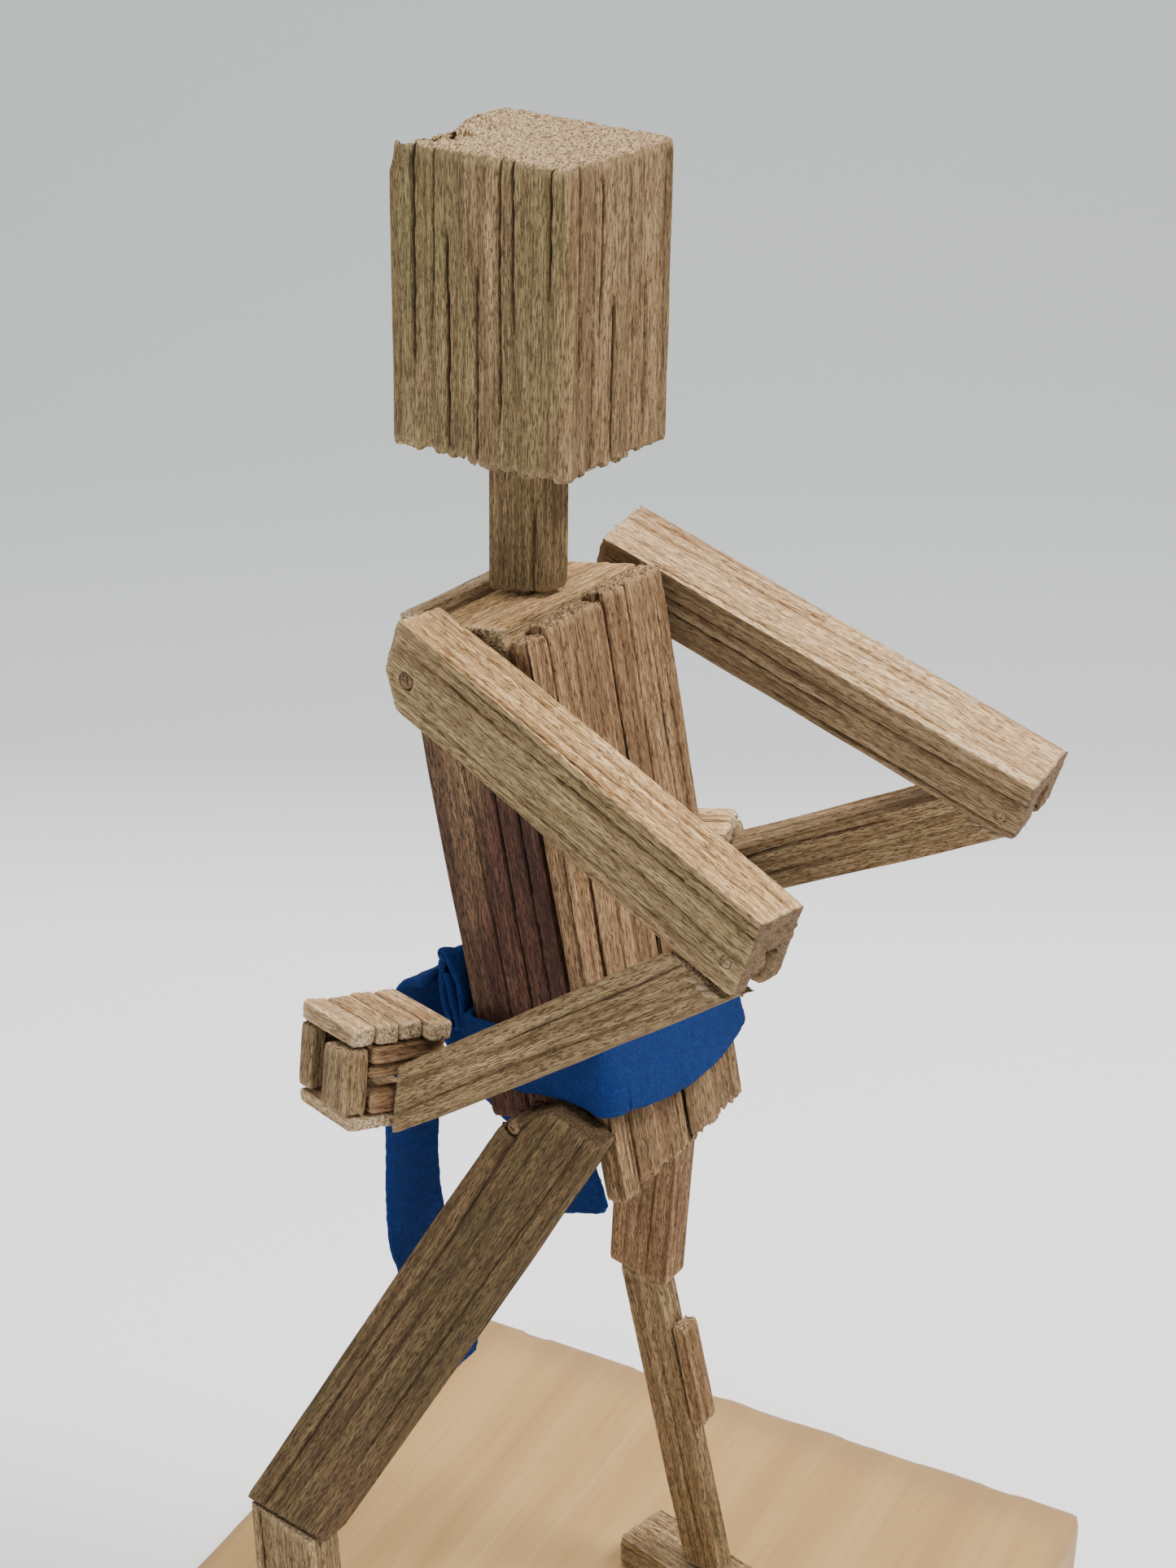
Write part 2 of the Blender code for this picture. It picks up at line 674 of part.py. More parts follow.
def build_belt(torso, figure):
    inner = belt_outline(GAP, BELT_CORNER)
    outer = belt_outline(GAP + FELT, BELT_CORNER + FELT)
    sides = ((inner, BELT_TOP), (outer, BELT_TOP), (outer, BELT_BOTTOM), (inner, BELT_BOTTOM))
    shape = bmesh.new()
    rings = []
    for outline, top in sides:
        rings.append([shape.verts.new((x, y, top)) for x, y in outline])
    count = len(inner)
    for level in range(4):
        ring, following = rings[level], rings[(level + 1) % 4]
        for index in range(count):
            after = (index + 1) % count
            shape.faces.new((ring[index], ring[after], following[after], following[index]))
    mesh_object("belt_band", torso, shape, felt("belt_band"))

    stick("belt_knot", torso, KNOT_LOW, KNOT_HIGH, felt("belt_knot"), ease=BELT_CORNER)
    ribbon("belt_tail_left", figure, LEFT_TAIL, LEFT_TAIL_TURNS)
    ribbon("belt_tail_right", figure, RIGHT_TAIL, RIGHT_TAIL_TURNS)


def ribbon(name, figure, middles, turns):
    """A felt tail: a thin strip that falls through its middle points and turns as it goes."""
    shape = bmesh.new()
    rings = []
    for middle, turn in zip(middles, turns):
        across = turned(turn) @ Vector((FELT_WIDTH / 2, 0.0, 0.0))
        through = turned(turn) @ Vector((0.0, FELT / 2, 0.0))
        corners = (across + through, -across + through, -across - through, across - through)
        rings.append([shape.verts.new(Vector(middle) + corner) for corner in corners])
    for ring, following in zip(rings, rings[1:]):
        for index in range(4):
            after = (index + 1) % 4
            shape.faces.new((ring[index], ring[after], following[after], following[index]))
    shape.faces.new(rings[0])
    shape.faces.new(rings[-1])
    mesh_object(name, figure, shape, felt(name))


def build():
    for old in list(bpy.data.objects):
        bpy.data.objects.remove(old, do_unlink=True)
    board = build_board()
    place = (*FIGURE_ORIGIN, HEAD_TOP)
    figure = empty("figure_frame", None, place, turned(-FIGURE_TURN))
    torso, chest, beam = build_torso(figure)
    build_head(torso, beam)
    build_arm(figure, beam, LEFT_ARM, "left")
    build_arm(figure, beam, RIGHT_ARM, "right")
    base_top = BOARD_SIZE[2] - HEAD_TOP
    for leg, word in ((LEFT_LEG, "left"), (RIGHT_LEG, "right")):
        shin_frame = build_leg(figure, board, chest, leg, word, base_top)
    build_splice(shin_frame, RIGHT_LEG)
    build_belt(torso, figure)


build()
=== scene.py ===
"""The looks of the wooden artist mannequin: weathered split sticks, a smooth board and a felt belt.

Every wood node is rebuilt as a fine mesh in its own grain frame, worn, cracked and frayed by noise.
Lengths are in millimetres until a mesh is written. The floor, lights and bump distances are in metres.
"""

import json
from math import cos, pi, radians, sin

import bmesh
import bpy
import numpy as np
from mathutils import Matrix, Vector


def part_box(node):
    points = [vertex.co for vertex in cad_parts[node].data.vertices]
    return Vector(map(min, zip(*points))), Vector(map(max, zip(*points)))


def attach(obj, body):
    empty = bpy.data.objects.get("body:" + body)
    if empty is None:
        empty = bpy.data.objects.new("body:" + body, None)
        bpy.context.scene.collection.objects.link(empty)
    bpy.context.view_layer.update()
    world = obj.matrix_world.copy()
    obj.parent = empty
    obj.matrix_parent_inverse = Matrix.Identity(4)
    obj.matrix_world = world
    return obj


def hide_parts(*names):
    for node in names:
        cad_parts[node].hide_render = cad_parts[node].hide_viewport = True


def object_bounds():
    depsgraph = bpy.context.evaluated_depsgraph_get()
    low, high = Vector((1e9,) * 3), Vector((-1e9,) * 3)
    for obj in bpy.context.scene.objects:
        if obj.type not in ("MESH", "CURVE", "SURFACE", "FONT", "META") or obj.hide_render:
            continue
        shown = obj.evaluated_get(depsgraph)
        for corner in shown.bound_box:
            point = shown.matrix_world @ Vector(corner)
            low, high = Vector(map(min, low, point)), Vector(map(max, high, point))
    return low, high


MM = 0.001
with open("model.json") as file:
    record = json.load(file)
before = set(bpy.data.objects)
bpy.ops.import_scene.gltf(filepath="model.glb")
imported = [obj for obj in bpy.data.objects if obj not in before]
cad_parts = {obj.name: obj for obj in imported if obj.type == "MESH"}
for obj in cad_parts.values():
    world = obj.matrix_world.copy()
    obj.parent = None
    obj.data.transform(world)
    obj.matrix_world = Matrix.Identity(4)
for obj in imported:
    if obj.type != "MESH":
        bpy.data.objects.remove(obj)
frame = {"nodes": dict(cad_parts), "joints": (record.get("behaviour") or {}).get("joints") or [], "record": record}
cad_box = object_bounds()
CAD_LOW, CAD_HIGH = (np.array(corner) / MM for corner in cad_box)

# Camera
CAMERA_PLACE = (247.0, 133.7, 290.6)
CAMERA_AZIMUTH = 116.91
CAMERA_PITCH = 25.67
CAMERA_ROLL = 1.04
CAMERA_LENS = 63.84
SENSOR_WIDTH = 36.0
CLIP_START = 0.01

# Mesh
STEP = 0.15
GRAIN_STRETCH = 4.0
BOARD_STEP = 0.8
PIN_STEP = 0.14
SMOOTH_ROUNDS = 7
SLIVER_LENGTH = 0.8
SLIVER_THICK = 0.07

# Noise: shifts that keep its cell numbers above zero, and the seeds of each stick
NOISE_SHIFT = 1000.5
BUNDLE_SHIFT = 500.0
DRAW_SEED = 100
NOISE_SEEDS = 40

# Figure
FIGURE_TURN = -8.9
FIGURE_ORIGIN = (9.85, 9.51, 228.0)

# Felt
FELT_THICK = 1.0
FELT_WIDTH = 7.0
FELT_STEP = 0.3
EDGE_BULGE = 0.3


def rotated_z(vector, degrees):
    return Matrix.Rotation(radians(degrees), 3, "Z") @ Vector(vector)


def figure_point(point):
    """A place in the figure's own frame, in the world, in millimetres."""
    return np.array(rotated_z(point, FIGURE_TURN)) + FIGURE_ORIGIN


def figure_way(x, y, z):
    """A direction of the figure's own frame, in the world."""
    return np.array(rotated_z((x, y, z), FIGURE_TURN).normalized())


# ---- noise

def lattice(ix, iy, iz, seed):
    """A fixed random number from -1 to 1 for each whole-number point, by an integer hash."""
    mixed = ix * np.uint64(374761393) + iy * np.uint64(668265263)
    mixed = mixed + iz * np.uint64(2246822519) + np.uint64(seed * 3266489917 + 12345)
    mixed = mixed & np.uint64(0xFFFFFFFF)
    mixed = (mixed ^ (mixed >> np.uint64(15))) * np.uint64(2246822519)
    mixed = mixed & np.uint64(0xFFFFFFFF)
    mixed = (mixed ^ (mixed >> np.uint64(13))) * np.uint64(3266489917)
    mixed = mixed & np.uint64(0xFFFFFFFF)
    mixed = mixed ^ (mixed >> np.uint64(16))
    return mixed.astype(np.float64) / 2147483648.0 - 1.0


def noise(points, scale, seed):
    """Smooth noise from about -1 to 1; scale is in cells per millimetre on each axis."""
    scaled = points * np.array(scale, float) + NOISE_SHIFT
    whole = np.floor(scaled)
    part = scaled - whole
    part = part * part * part * (part * (part * 6.0 - 15.0) + 10.0)
    corner = whole.astype(np.uint64)
    total = np.zeros(len(points))
    for dx in (0, 1):
        wx = part[:, 0] if dx else 1.0 - part[:, 0]
        for dy in (0, 1):
            wy = part[:, 1] if dy else 1.0 - part[:, 1]
            for dz in (0, 1):
                wz = part[:, 2] if dz else 1.0 - part[:, 2]
                value = lattice(
                    corner[:, 0] + np.uint64(dx),
                    corner[:, 1] + np.uint64(dy),
                    corner[:, 2] + np.uint64(dz),
                    seed,
                )
                total += wx * wy * wz * value
    return total


def bundles(points, size, seed):
    """One random number from 0 to 1 for each bundle of fibres, seen end on."""
    wander = 0.25 * noise(points, (0.9, 0.9, 0.05), seed + 7)
    first = np.floor(points[:, 0] / size + wander + BUNDLE_SHIFT).astype(np.uint64)
    second = np.floor(points[:, 1] / size - wander + BUNDLE_SHIFT).astype(np.uint64)
    return 0.5 + 0.5 * lattice(first, second, np.uint64(3) + first * np.uint64(0), seed)


def smooth_step(low, high, values):
    part = np.clip((values - low) / (high - low), 0.0, 1.0)
    return part * part * (3.0 - 2.0 * part)


# ---- meshes

def mesh_arrays(mesh):
    points = np.empty(len(mesh.vertices) * 3)
    mesh.vertices.foreach_get("co", points)
    return points.reshape(-1, 3)


def mesh_normals(mesh):
    normals = np.empty(len(mesh.vertices) * 3)
    mesh.vertex_normals.foreach_get("vector", normals)
    return normals.reshape(-1, 3)


def mesh_edges(mesh):
    edges = np.empty(len(mesh.edges) * 2, np.int32)
    mesh.edges.foreach_get("vertices", edges)
    return edges.reshape(-1, 2)


def smoothed(points, edges, rounds):
    """The points drawn towards their neighbours' middle."""
    count = np.bincount(edges.ravel(), minlength=len(points)).astype(float)
    count[count == 0] = 1.0
    result = points.copy()
    for _ in range(rounds):
        middle = np.empty_like(result)
        for axis in range(3):
            total = np.bincount(edges[:, 0], result[edges[:, 1], axis], len(points))
            total += np.bincount(edges[:, 1], result[edges[:, 0], axis], len(points))
            middle[:, axis] = total / count
        result += 0.6 * (middle - result)
    return result


def link(name, data):
    made = bpy.data.objects.new(name, data)
    bpy.context.scene.collection.objects.link(made)
    return made


def set_attribute(mesh, name, values):
    kind = "FLOAT_VECTOR" if values.ndim == 2 else "FLOAT"
    key = "vector" if values.ndim == 2 else "value"
    made = mesh.attributes.new(name, kind, "POINT")
    made.data.foreach_set(key, values.astype(np.float32).ravel())


def face_planes(mesh):
    """The mesh's flat faces, joined by plane: normal, area, middle, in millimetres."""
    planes = []
    for face in mesh.polygons:
        normal = np.array(face.normal)
        middle = np.array(face.center) / MM
        area = face.area / MM**2
        for plane in planes:
            same = normal @ plane["normal"] > 0.9995
            if same and abs((middle - plane["middle"]) @ plane["normal"]) < 0.05:
                share = area / (plane["area"] + area)
                plane["middle"] = plane["middle"] * (1 - share) + middle * share
                plane["area"] += area
                break
        else:
            planes.append({"normal": normal, "middle": middle, "area": area})
    return planes


def grain_axes(mesh, is_round):
    """Rows u, v and g: two ways across a stick and the way along its grain."""
    if is_round:
        points = mesh_arrays(mesh)
        spread = np.linalg.eigh(np.cov((points - points.mean(0)).T))[1]
        along = spread[:, 2]
        across = spread[:, 0]
    else:
        sums = []
        for plane in face_planes(mesh):
            for entry in sums:
                if abs(entry[0] @ plane["normal"]) > 0.999:
                    entry[1] += plane["area"]
                    break
            else:
                sums.append([plane["normal"], plane["area"]])
        sums.sort(key=lambda entry: -entry[1])
        across = sums[0][0]
        second = next(entry[0] for entry in sums if abs(entry[0] @ across) < 0.25)
        along = np.cross(across, second)
        along /= np.linalg.norm(along)
    if along[np.argmax(np.abs(along))] < 0:
        along = -along
    return np.array([across, np.cross(along, across), along])


def remeshed(mesh, axes, centre, step):
    """The node's shape as an even fine mesh in its own grain frame, in millimetres."""
    local = (mesh_arrays(mesh) / MM - centre) @ axes.T
    local[:, 2] /= GRAIN_STRETCH
    copy = mesh.copy()
    copy.vertices.foreach_set("co", local.ravel())
    carrier = link("carrier", copy)
    grid = carrier.modifiers.new("grid", "REMESH")
    grid.mode = "VOXEL"
    grid.voxel_size = step
    depsgraph = bpy.context.evaluated_depsgraph_get()
    made = bpy.data.meshes.new_from_object(carrier.evaluated_get(depsgraph))
    bpy.data.objects.remove(carrier)
    bpy.data.meshes.remove(copy)
    points = mesh_arrays(made)
    points[:, 2] *= GRAIN_STRETCH
    made.vertices.foreach_set("co", points.ravel())
    made.update()
    if "material_index" in made.attributes:
        made.attributes.remove(made.attributes["material_index"])
    return made


# ---- wood shapes

def crack_depth(points, normals, half, random, count, deepest, width):
    """How deep the cracks along the grain cut in at each point, shared out evenly over four sides."""
    depth = np.zeros(len(points))
    each = max(count / 4.0, 1.0)
    for index in range(count):
        axis = index % 2
        side = 1.0 if (index // 2) % 2 else -1.0
        other = 1 - axis
        share = min((index // 4 + random.uniform(0.15, 0.85)) / each, 1.0)
        place = (1.8 * share - 0.9) * half[other]
        middle = random.uniform(-0.8, 0.8) * half[2]
        reach = random.uniform(0.5, 1.7) * half[2]
        deep = deepest * random.uniform(0.35, 1.0)
        wide = width * random.uniform(0.6, 1.3)
        seed = int(random.integers(1, 9000))
        on_face = smooth_step(0.55, 0.85, normals[:, axis] * side)
        line = np.zeros_like(points)
        line[:, 2] = points[:, 2]
        wander = 0.5 * noise(line, (1, 1, 0.06), seed) + 0.1 * noise(line, (1, 1, 0.6), seed + 1)
        ragged = 1.0 + 0.45 * noise(line, (1, 1, 0.9), seed + 2)
        across = np.abs(points[:, other] - place - wander) / (wide * ragged)
        profile = np.clip(1.0 - across, 0.0, 1.0) ** 0.7
        along = 1.0 - smooth_step(0.7, 1.0, np.abs(points[:, 2] - middle) / reach)
        depth = np.maximum(depth, deep * profile * along * on_face)
    return depth


def end_distance(points, planes, axes, centre, half, way):
    """How far along the grain each point lies from the sawn end that faces this way."""
    distance = np.full(len(points), 99.0)
    whole = 4.0 * half[0] * half[1]
    for plane in planes:
        normal = axes @ plane["normal"]
        middle = axes @ (plane["middle"] - centre)
        if normal[2] * way < 0.3 or plane["area"] < 0.2 * whole:
            continue
        if middle[2] * way < 0.5 * half[2]:
            continue
        gap = ((middle - points) @ normal) / normal[2] * way
        distance = np.where(gap > -0.3, np.minimum(distance, np.maximum(gap, 0.0)), distance)
    return distance


def slivers(random, starts, along):
    """Small loose fibres: thin closed spikes that stand out of an end."""
    corners = []
    faces = []
    for start in starts:
        lean = along + random.normal(0.0, 0.22, 3)
        lean /= np.linalg.norm(lean)
        side = np.cross(lean, (0.31, 0.87, 0.4))
        side /= np.linalg.norm(side)
        other = np.cross(lean, side)
        size = SLIVER_THICK * random.uniform(0.5, 1.2)
        tip = start + lean * SLIVER_LENGTH * random.uniform(0.3, 1.0)
        root = start - lean * 0.5
        first = len(corners)
        for turn in range(3):
            angle = 2.0 * pi * turn / 3
            corners.append(root + size * (side * cos(angle) + other * sin(angle)))
        corners.append(tip)
        faces += [(first, first + 2, first + 1), (first, first + 1, first + 3)]
        faces += [(first + 1, first + 2, first + 3), (first + 2, first, first + 3)]
    return corners, faces


# Patina taken off faces that look up, which paints a highlight on their tops
TOP_HIGHLIGHT = 0.4

# A stick's look. Pairs of numbers are for its low and high end along the grain.
# out moves the faces outward, before relief, wave and cracks cut them back. The *_ways add to patina
# or tint on faces that look one way: real patina, and painted light that makes faces looking up lighter
# and faces looking back darker. fades adds patina colour along a way, which makes the back strips darker
# towards the bottom and leaves the chest block dark behind its front, as painted shadow of the arm. soot
# darkens an end with painted shade where sticks meet at joints, bites are chipped places, and mesh is a
# shape to use instead of the node's.
DEFAULT_WOOD = {
    "look": "weathered_wood",
    "step": STEP,
    "relief": 0.16,
    "ring": 1.6,
    "ring_turn": 35.0,
    "wave": 0.1,
    "out": 0.1,
    "cracks": 7,
    "deepest": 0.6,
    "crack_width": 0.2,
    "wear": 0.75,
    "fray": (0.35, 0.35),
    "fray_reach": 1.8,
    "bundle": 0.65,
    "slivers": (6, 6),
    "tint": 0.0,
    "patina": 0.4,
    "patina_and_light_ways": (),
    "painted_light_ways": (),
    "fades": (),
    "end_shade": (0.0, 0.0),
    "bites": (),
    "round": False,
    "mesh": None,
}


def weather(node, body, number, **given):
    """Makes the weathered wood of a CAD stick, which it replaces, or of a mesh given instead."""
    wood = {**DEFAULT_WOOD, **given}
    random = np.random.default_rng(DRAW_SEED + number)
    cad = wood["mesh"] or frame["nodes"][node].data
    axes = grain_axes(cad, wood["round"])
    world = mesh_arrays(cad) / MM
    local = world @ axes.T
    centre = axes.T @ ((local.min(0) + local.max(0)) / 2)
    half = (local.max(0) - local.min(0)) / 2
    planes = face_planes(cad)
    mesh = remeshed(cad, axes, centre, wood["step"])
    points = mesh_arrays(mesh)
    normals = mesh_normals(mesh)
    edges = mesh_edges(mesh)
    seed = NOISE_SEEDS * number

    side = 1.0 - smooth_step(0.5, 0.8, np.abs(normals[:, 2]))
    turn = radians(wood["ring_turn"])
    ring = points[:, 0] * cos(turn) + points[:, 1] * sin(turn)
    ring = ring + 0.5 * noise(points, (0.12, 0.12, 0.03), seed + 1)
    ring = ring / wood["ring"] + 0.2 * noise(points, (0.5, 0.5, 0.06), seed + 2)
    valley = (0.5 - 0.5 * np.cos(2.0 * pi * ring)) ** 0.6
    fibre = 0.5 + 0.5 * noise(points, (2.3, 2.3, 0.16), seed + 3)
    streak = 0.5 + 0.5 * noise(points, (0.9, 0.9, 0.05), seed + 4)
    dent = wood["relief"] * (0.5 * valley + 0.55 * fibre + 0.7 * streak)
    swell = wood["wave"] * (1.0 + noise(points, (0.12, 0.12, 0.05), seed + 5))
    sizes = (wood["cracks"], wood["deepest"], wood["crack_width"])
    crack = crack_depth(points, normals, half, random, *sizes)
    points_out = points - normals * ((dent + swell + crack - wood["out"]) * side)[:, None]

    end_low = end_distance(points, planes, axes, centre, half, -1.0)
    end_high = end_distance(points, planes, axes, centre, half, 1.0)
    broken = 0.55 * bundles(points, wood["bundle"], seed + 6) ** 2
    broken += 0.3 * bundles(points, 1.7 * wood["bundle"], seed + 8)
    broken += 0.15 * (1.0 + noise(points, (0.7, 0.7, 0.01), seed + 9))
    reach = wood["fray_reach"]
    low_near = 1.0 - smooth_step(0.0, reach, end_low)
    high_near = 1.0 - smooth_step(0.0, reach, end_high)
    points_out[:, 2] += wood["fray"][0] * broken * low_near
    points_out[:, 2] -= wood["fray"][1] * broken * high_near
    ends = 1.0 - side
    # Painted shade on the sawn ends, where the sticks meet at joints
    end_shade = ends * np.where(points[:, 2] < 0, wood["end_shade"][0], wood["end_shade"][1])
    grit = (0.07 * noise(points, (3.1, 3.1, 0.5), seed + 10) - 0.05) * (1.0 - end_shade)
    points_out += normals * (grit * ends)[:, None]

    for place, radius, depth in wood["bites"]:
        target = axes @ (np.array(place) - centre)
        away = np.linalg.norm((points - target) * (1.0, 1.0, 0.8), axis=1) / radius
        bite = np.clip(1.0 - away, 0.0, 1.0) ** 0.5 * depth
        bite *= 0.7 + 0.5 * bundles(points, 0.8, seed + 11)
        points_out -= normals * bite[:, None]

    soft = smoothed(points_out, edges, SMOOTH_ROUNDS)
    worn = 0.35 + 0.65 * smooth_step(-0.3, 0.6, noise(points, (0.25, 0.25, 0.12), seed + 12))
    rounding = np.linalg.norm(smoothed(points, edges, SMOOTH_ROUNDS) - points, axis=1)
    corner = smooth_step(0.05, 0.25, rounding)
    mix = (wood["wear"] * worn * corner)[:, None]
    keep = 1.0 - smooth_step(0.1, 0.5, crack)[:, None]
    points_out = points_out + (soft - points_out) * mix * keep

    world_normals = normals @ axes
    patina = np.full(len(points), float(wood["patina"]))
    # Patina by facing way: real patina on faces that look left or front, and a painted highlight where it is taken
    # off faces that look up
    for way, amount in wood["patina_and_light_ways"]:
        patina += amount * smooth_step(0.5, 0.8, world_normals @ way)
    # Painted highlight: faces that look up lose patina and come out lighter
    patina -= TOP_HIGHLIGHT * smooth_step(0.5, 0.85, world_normals[:, 2])
    # The stick's own tint, plus painted light by facing way: lighter on faces that look up, darker on faces that
    # look back
    tint = np.full(len(points), float(wood["tint"]))
    for way, amount in wood["painted_light_ways"]:
        tint += amount * smooth_step(0.5, 0.8, world_normals @ way)
    # Patina colour along a way: the back strips darker towards the bottom, and the chest block lighter only at its
    # front, left dark behind as painted shadow of the arm
    for way, low, high, amount in wood["fades"]:
        patina += amount * smooth_step(low, high, points @ (axes @ way))

    offset = random.uniform(-300.0, 300.0, 3)
    sliver_points = []
    sliver_faces = []
    for way, amount, near in ((-1.0, wood["slivers"][0], end_low), (1.0, wood["slivers"][1], end_high)):
        ready = np.flatnonzero((near < 0.35) & (np.abs(normals[:, 2]) < 0.95))
        if amount and len(ready):
            picked = points_out[random.choice(ready, amount)]
            more, faces = slivers(random, picked, np.array((0, 0, way)))
            base = len(points) + len(sliver_points)
            sliver_points += more
            sliver_faces += [tuple(index + base for index in face) for face in faces]

    extra = len(sliver_points)
    every = np.vstack([points_out, np.array(sliver_points).reshape(-1, 3)])
    in_box = np.clip(every @ axes + centre, CAD_LOW, CAD_HIGH)
    final = joined_mesh(node + "_piece", mesh, in_box, sliver_faces)

    def padded(values, filler):
        return np.concatenate([values, np.full(extra, filler)])

    set_attribute(final, "grain", every + offset)
    set_attribute(final, "ring", padded(ring, 0.0))
    set_attribute(final, "crack", padded(np.clip(crack / 0.8, 0, 1), 0.1))
    set_attribute(final, "dent", padded(np.clip(dent / max(wood["relief"], 0.01) / 1.75, 0, 1) * side, 0.2))
    set_attribute(final, "end", padded(1.0 - side, 0.4))
    set_attribute(final, "edge", padded(corner, 1.0))
    # patina and tint also carry painted light: lighter on faces that look up, darker on faces that look back
    set_attribute(final, "patina", padded(np.clip(patina, 0, 1), 0.1))
    set_attribute(final, "tint", padded(np.clip(tint, -1, 1), float(wood["tint"])))
    # soot holds the painted shade on the ends
    set_attribute(final, "end_shade", padded(end_shade, 0.0))
    bpy.data.meshes.remove(mesh)
    made = link(node + "_wood", final)
    final.materials.append(MATERIALS[wood["look"]])
    if not wood["mesh"]:
        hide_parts(node)
    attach(made, body)


def joined_mesh(name, mesh, points, more_faces):
    """The remeshed faces with moved points and any loose fibres, shaded smooth."""
    faces = [tuple(face.vertices) for face in mesh.polygons] + more_faces
    made = bpy.data.meshes.new(name)
    made.from_pydata(points * MM, [], faces)
    made.update()
    made.shade_smooth()
    return made


# ---- materials

class Shader:
    """A material under construction: each method adds a node and returns its output."""

    def __init__(self, name):
        self.material = bpy.data.materials.new(name)
        self.material.use_nodes = True
        self.tree = self.material.node_tree
        self.surface = self.tree.nodes["Principled BSDF"]

    def set(self, name, value):
        """Feeds one input of the surface with a number, a colour or another node's output."""
        self.feed(self.surface.inputs[name], value)

    def node(self, kind, **settings):
        made = self.tree.nodes.new(kind)
        for key, value in settings.items():
            setattr(made, key, value)
        return made

    def feed(self, socket, value):
        if isinstance(value, bpy.types.NodeSocket):
            self.tree.links.new(value, socket)
        else:
            socket.default_value = value

    def attribute(self, name, output="Fac"):
        return self.node("ShaderNodeAttribute", attribute_name=name).outputs[output]

    def scaled(self, vector, scale):
        made = self.node("ShaderNodeMapping")
        self.feed(made.inputs["Vector"], vector)
        made.inputs["Scale"].default_value = scale
        return made.outputs["Vector"]

    def noise(self, vector, scale, detail=4.0, roughness=0.6, distortion=0.0):
        made = self.node("ShaderNodeTexNoise")
        self.feed(made.inputs["Vector"], self.scaled(vector, scale))
        made.inputs["Scale"].default_value = 1.0
        made.inputs["Detail"].default_value = detail
        made.inputs["Roughness"].default_value = roughness
        made.inputs["Distortion"].default_value = distortion
        return made.outputs["Fac"]

    def math(self, operation, first, second=0.0, clamp=False):
        made = self.node("ShaderNodeMath", operation=operation, use_clamp=clamp)
        self.feed(made.inputs[0], first)
        self.feed(made.inputs[1], second)
        return made.outputs[0]

    def range(self, value, low, high, new_low=0.0, new_high=1.0):
        made = self.node("ShaderNodeMapRange", interpolation_type="SMOOTHSTEP")
        self.feed(made.inputs["Value"], value)
        made.inputs["From Min"].default_value = low
        made.inputs["From Max"].default_value = high
        made.inputs["To Min"].default_value = new_low
        made.inputs["To Max"].default_value = new_high
        return made.outputs["Result"]

    def mix(self, share, first, second, blend="MIX"):
        made = self.node("ShaderNodeMix", data_type="RGBA", blend_type=blend)
        self.feed(made.inputs["Factor"], share)
        self.feed(made.inputs["A"], first)
        self.feed(made.inputs["B"], second)
        return made.outputs["Result"]

    def ramp(self, value, stops):
        made = self.node("ShaderNodeValToRGB")
        self.feed(made.inputs["Fac"], value)
        elements = made.color_ramp.elements
        while len(elements) < len(stops):
            elements.new(0.5)
        for element, (place, colour) in zip(elements, stops):
            element.position = place
            element.color = colour
        return made.outputs["Color"]

    def bump(self, height, strength, distance):
        made = self.node("ShaderNodeBump")
        self.feed(made.inputs["Height"], height)
        made.inputs["Strength"].default_value = strength
        made.inputs["Distance"].default_value = distance
        return made.outputs["Normal"]


def shade(red, green, blue):
    """A colour given as it looks on screen, 0 to 255, made linear."""
    linear = []
    for value in (red, green, blue):
        part = value / 255.0
        linear.append(part / 12.92 if part <= 0.04045 else ((part + 0.055) / 1.055) ** 2.4)
    return (*linear, 1.0)


WHITE = (1.0, 1.0, 1.0, 1.0)
# The colour of the painted shade on the ends where sticks meet
END_SHADE_COLOUR = shade(118, 96, 74)
LIGHTEST_TINT = (1.5, 1.4, 1.25, 1.0)
DARKEST_TINT = (0.4, 0.37, 0.33, 1.0)
WOOD_PORES = 0.85
WOOD_ROUGH = 0.85


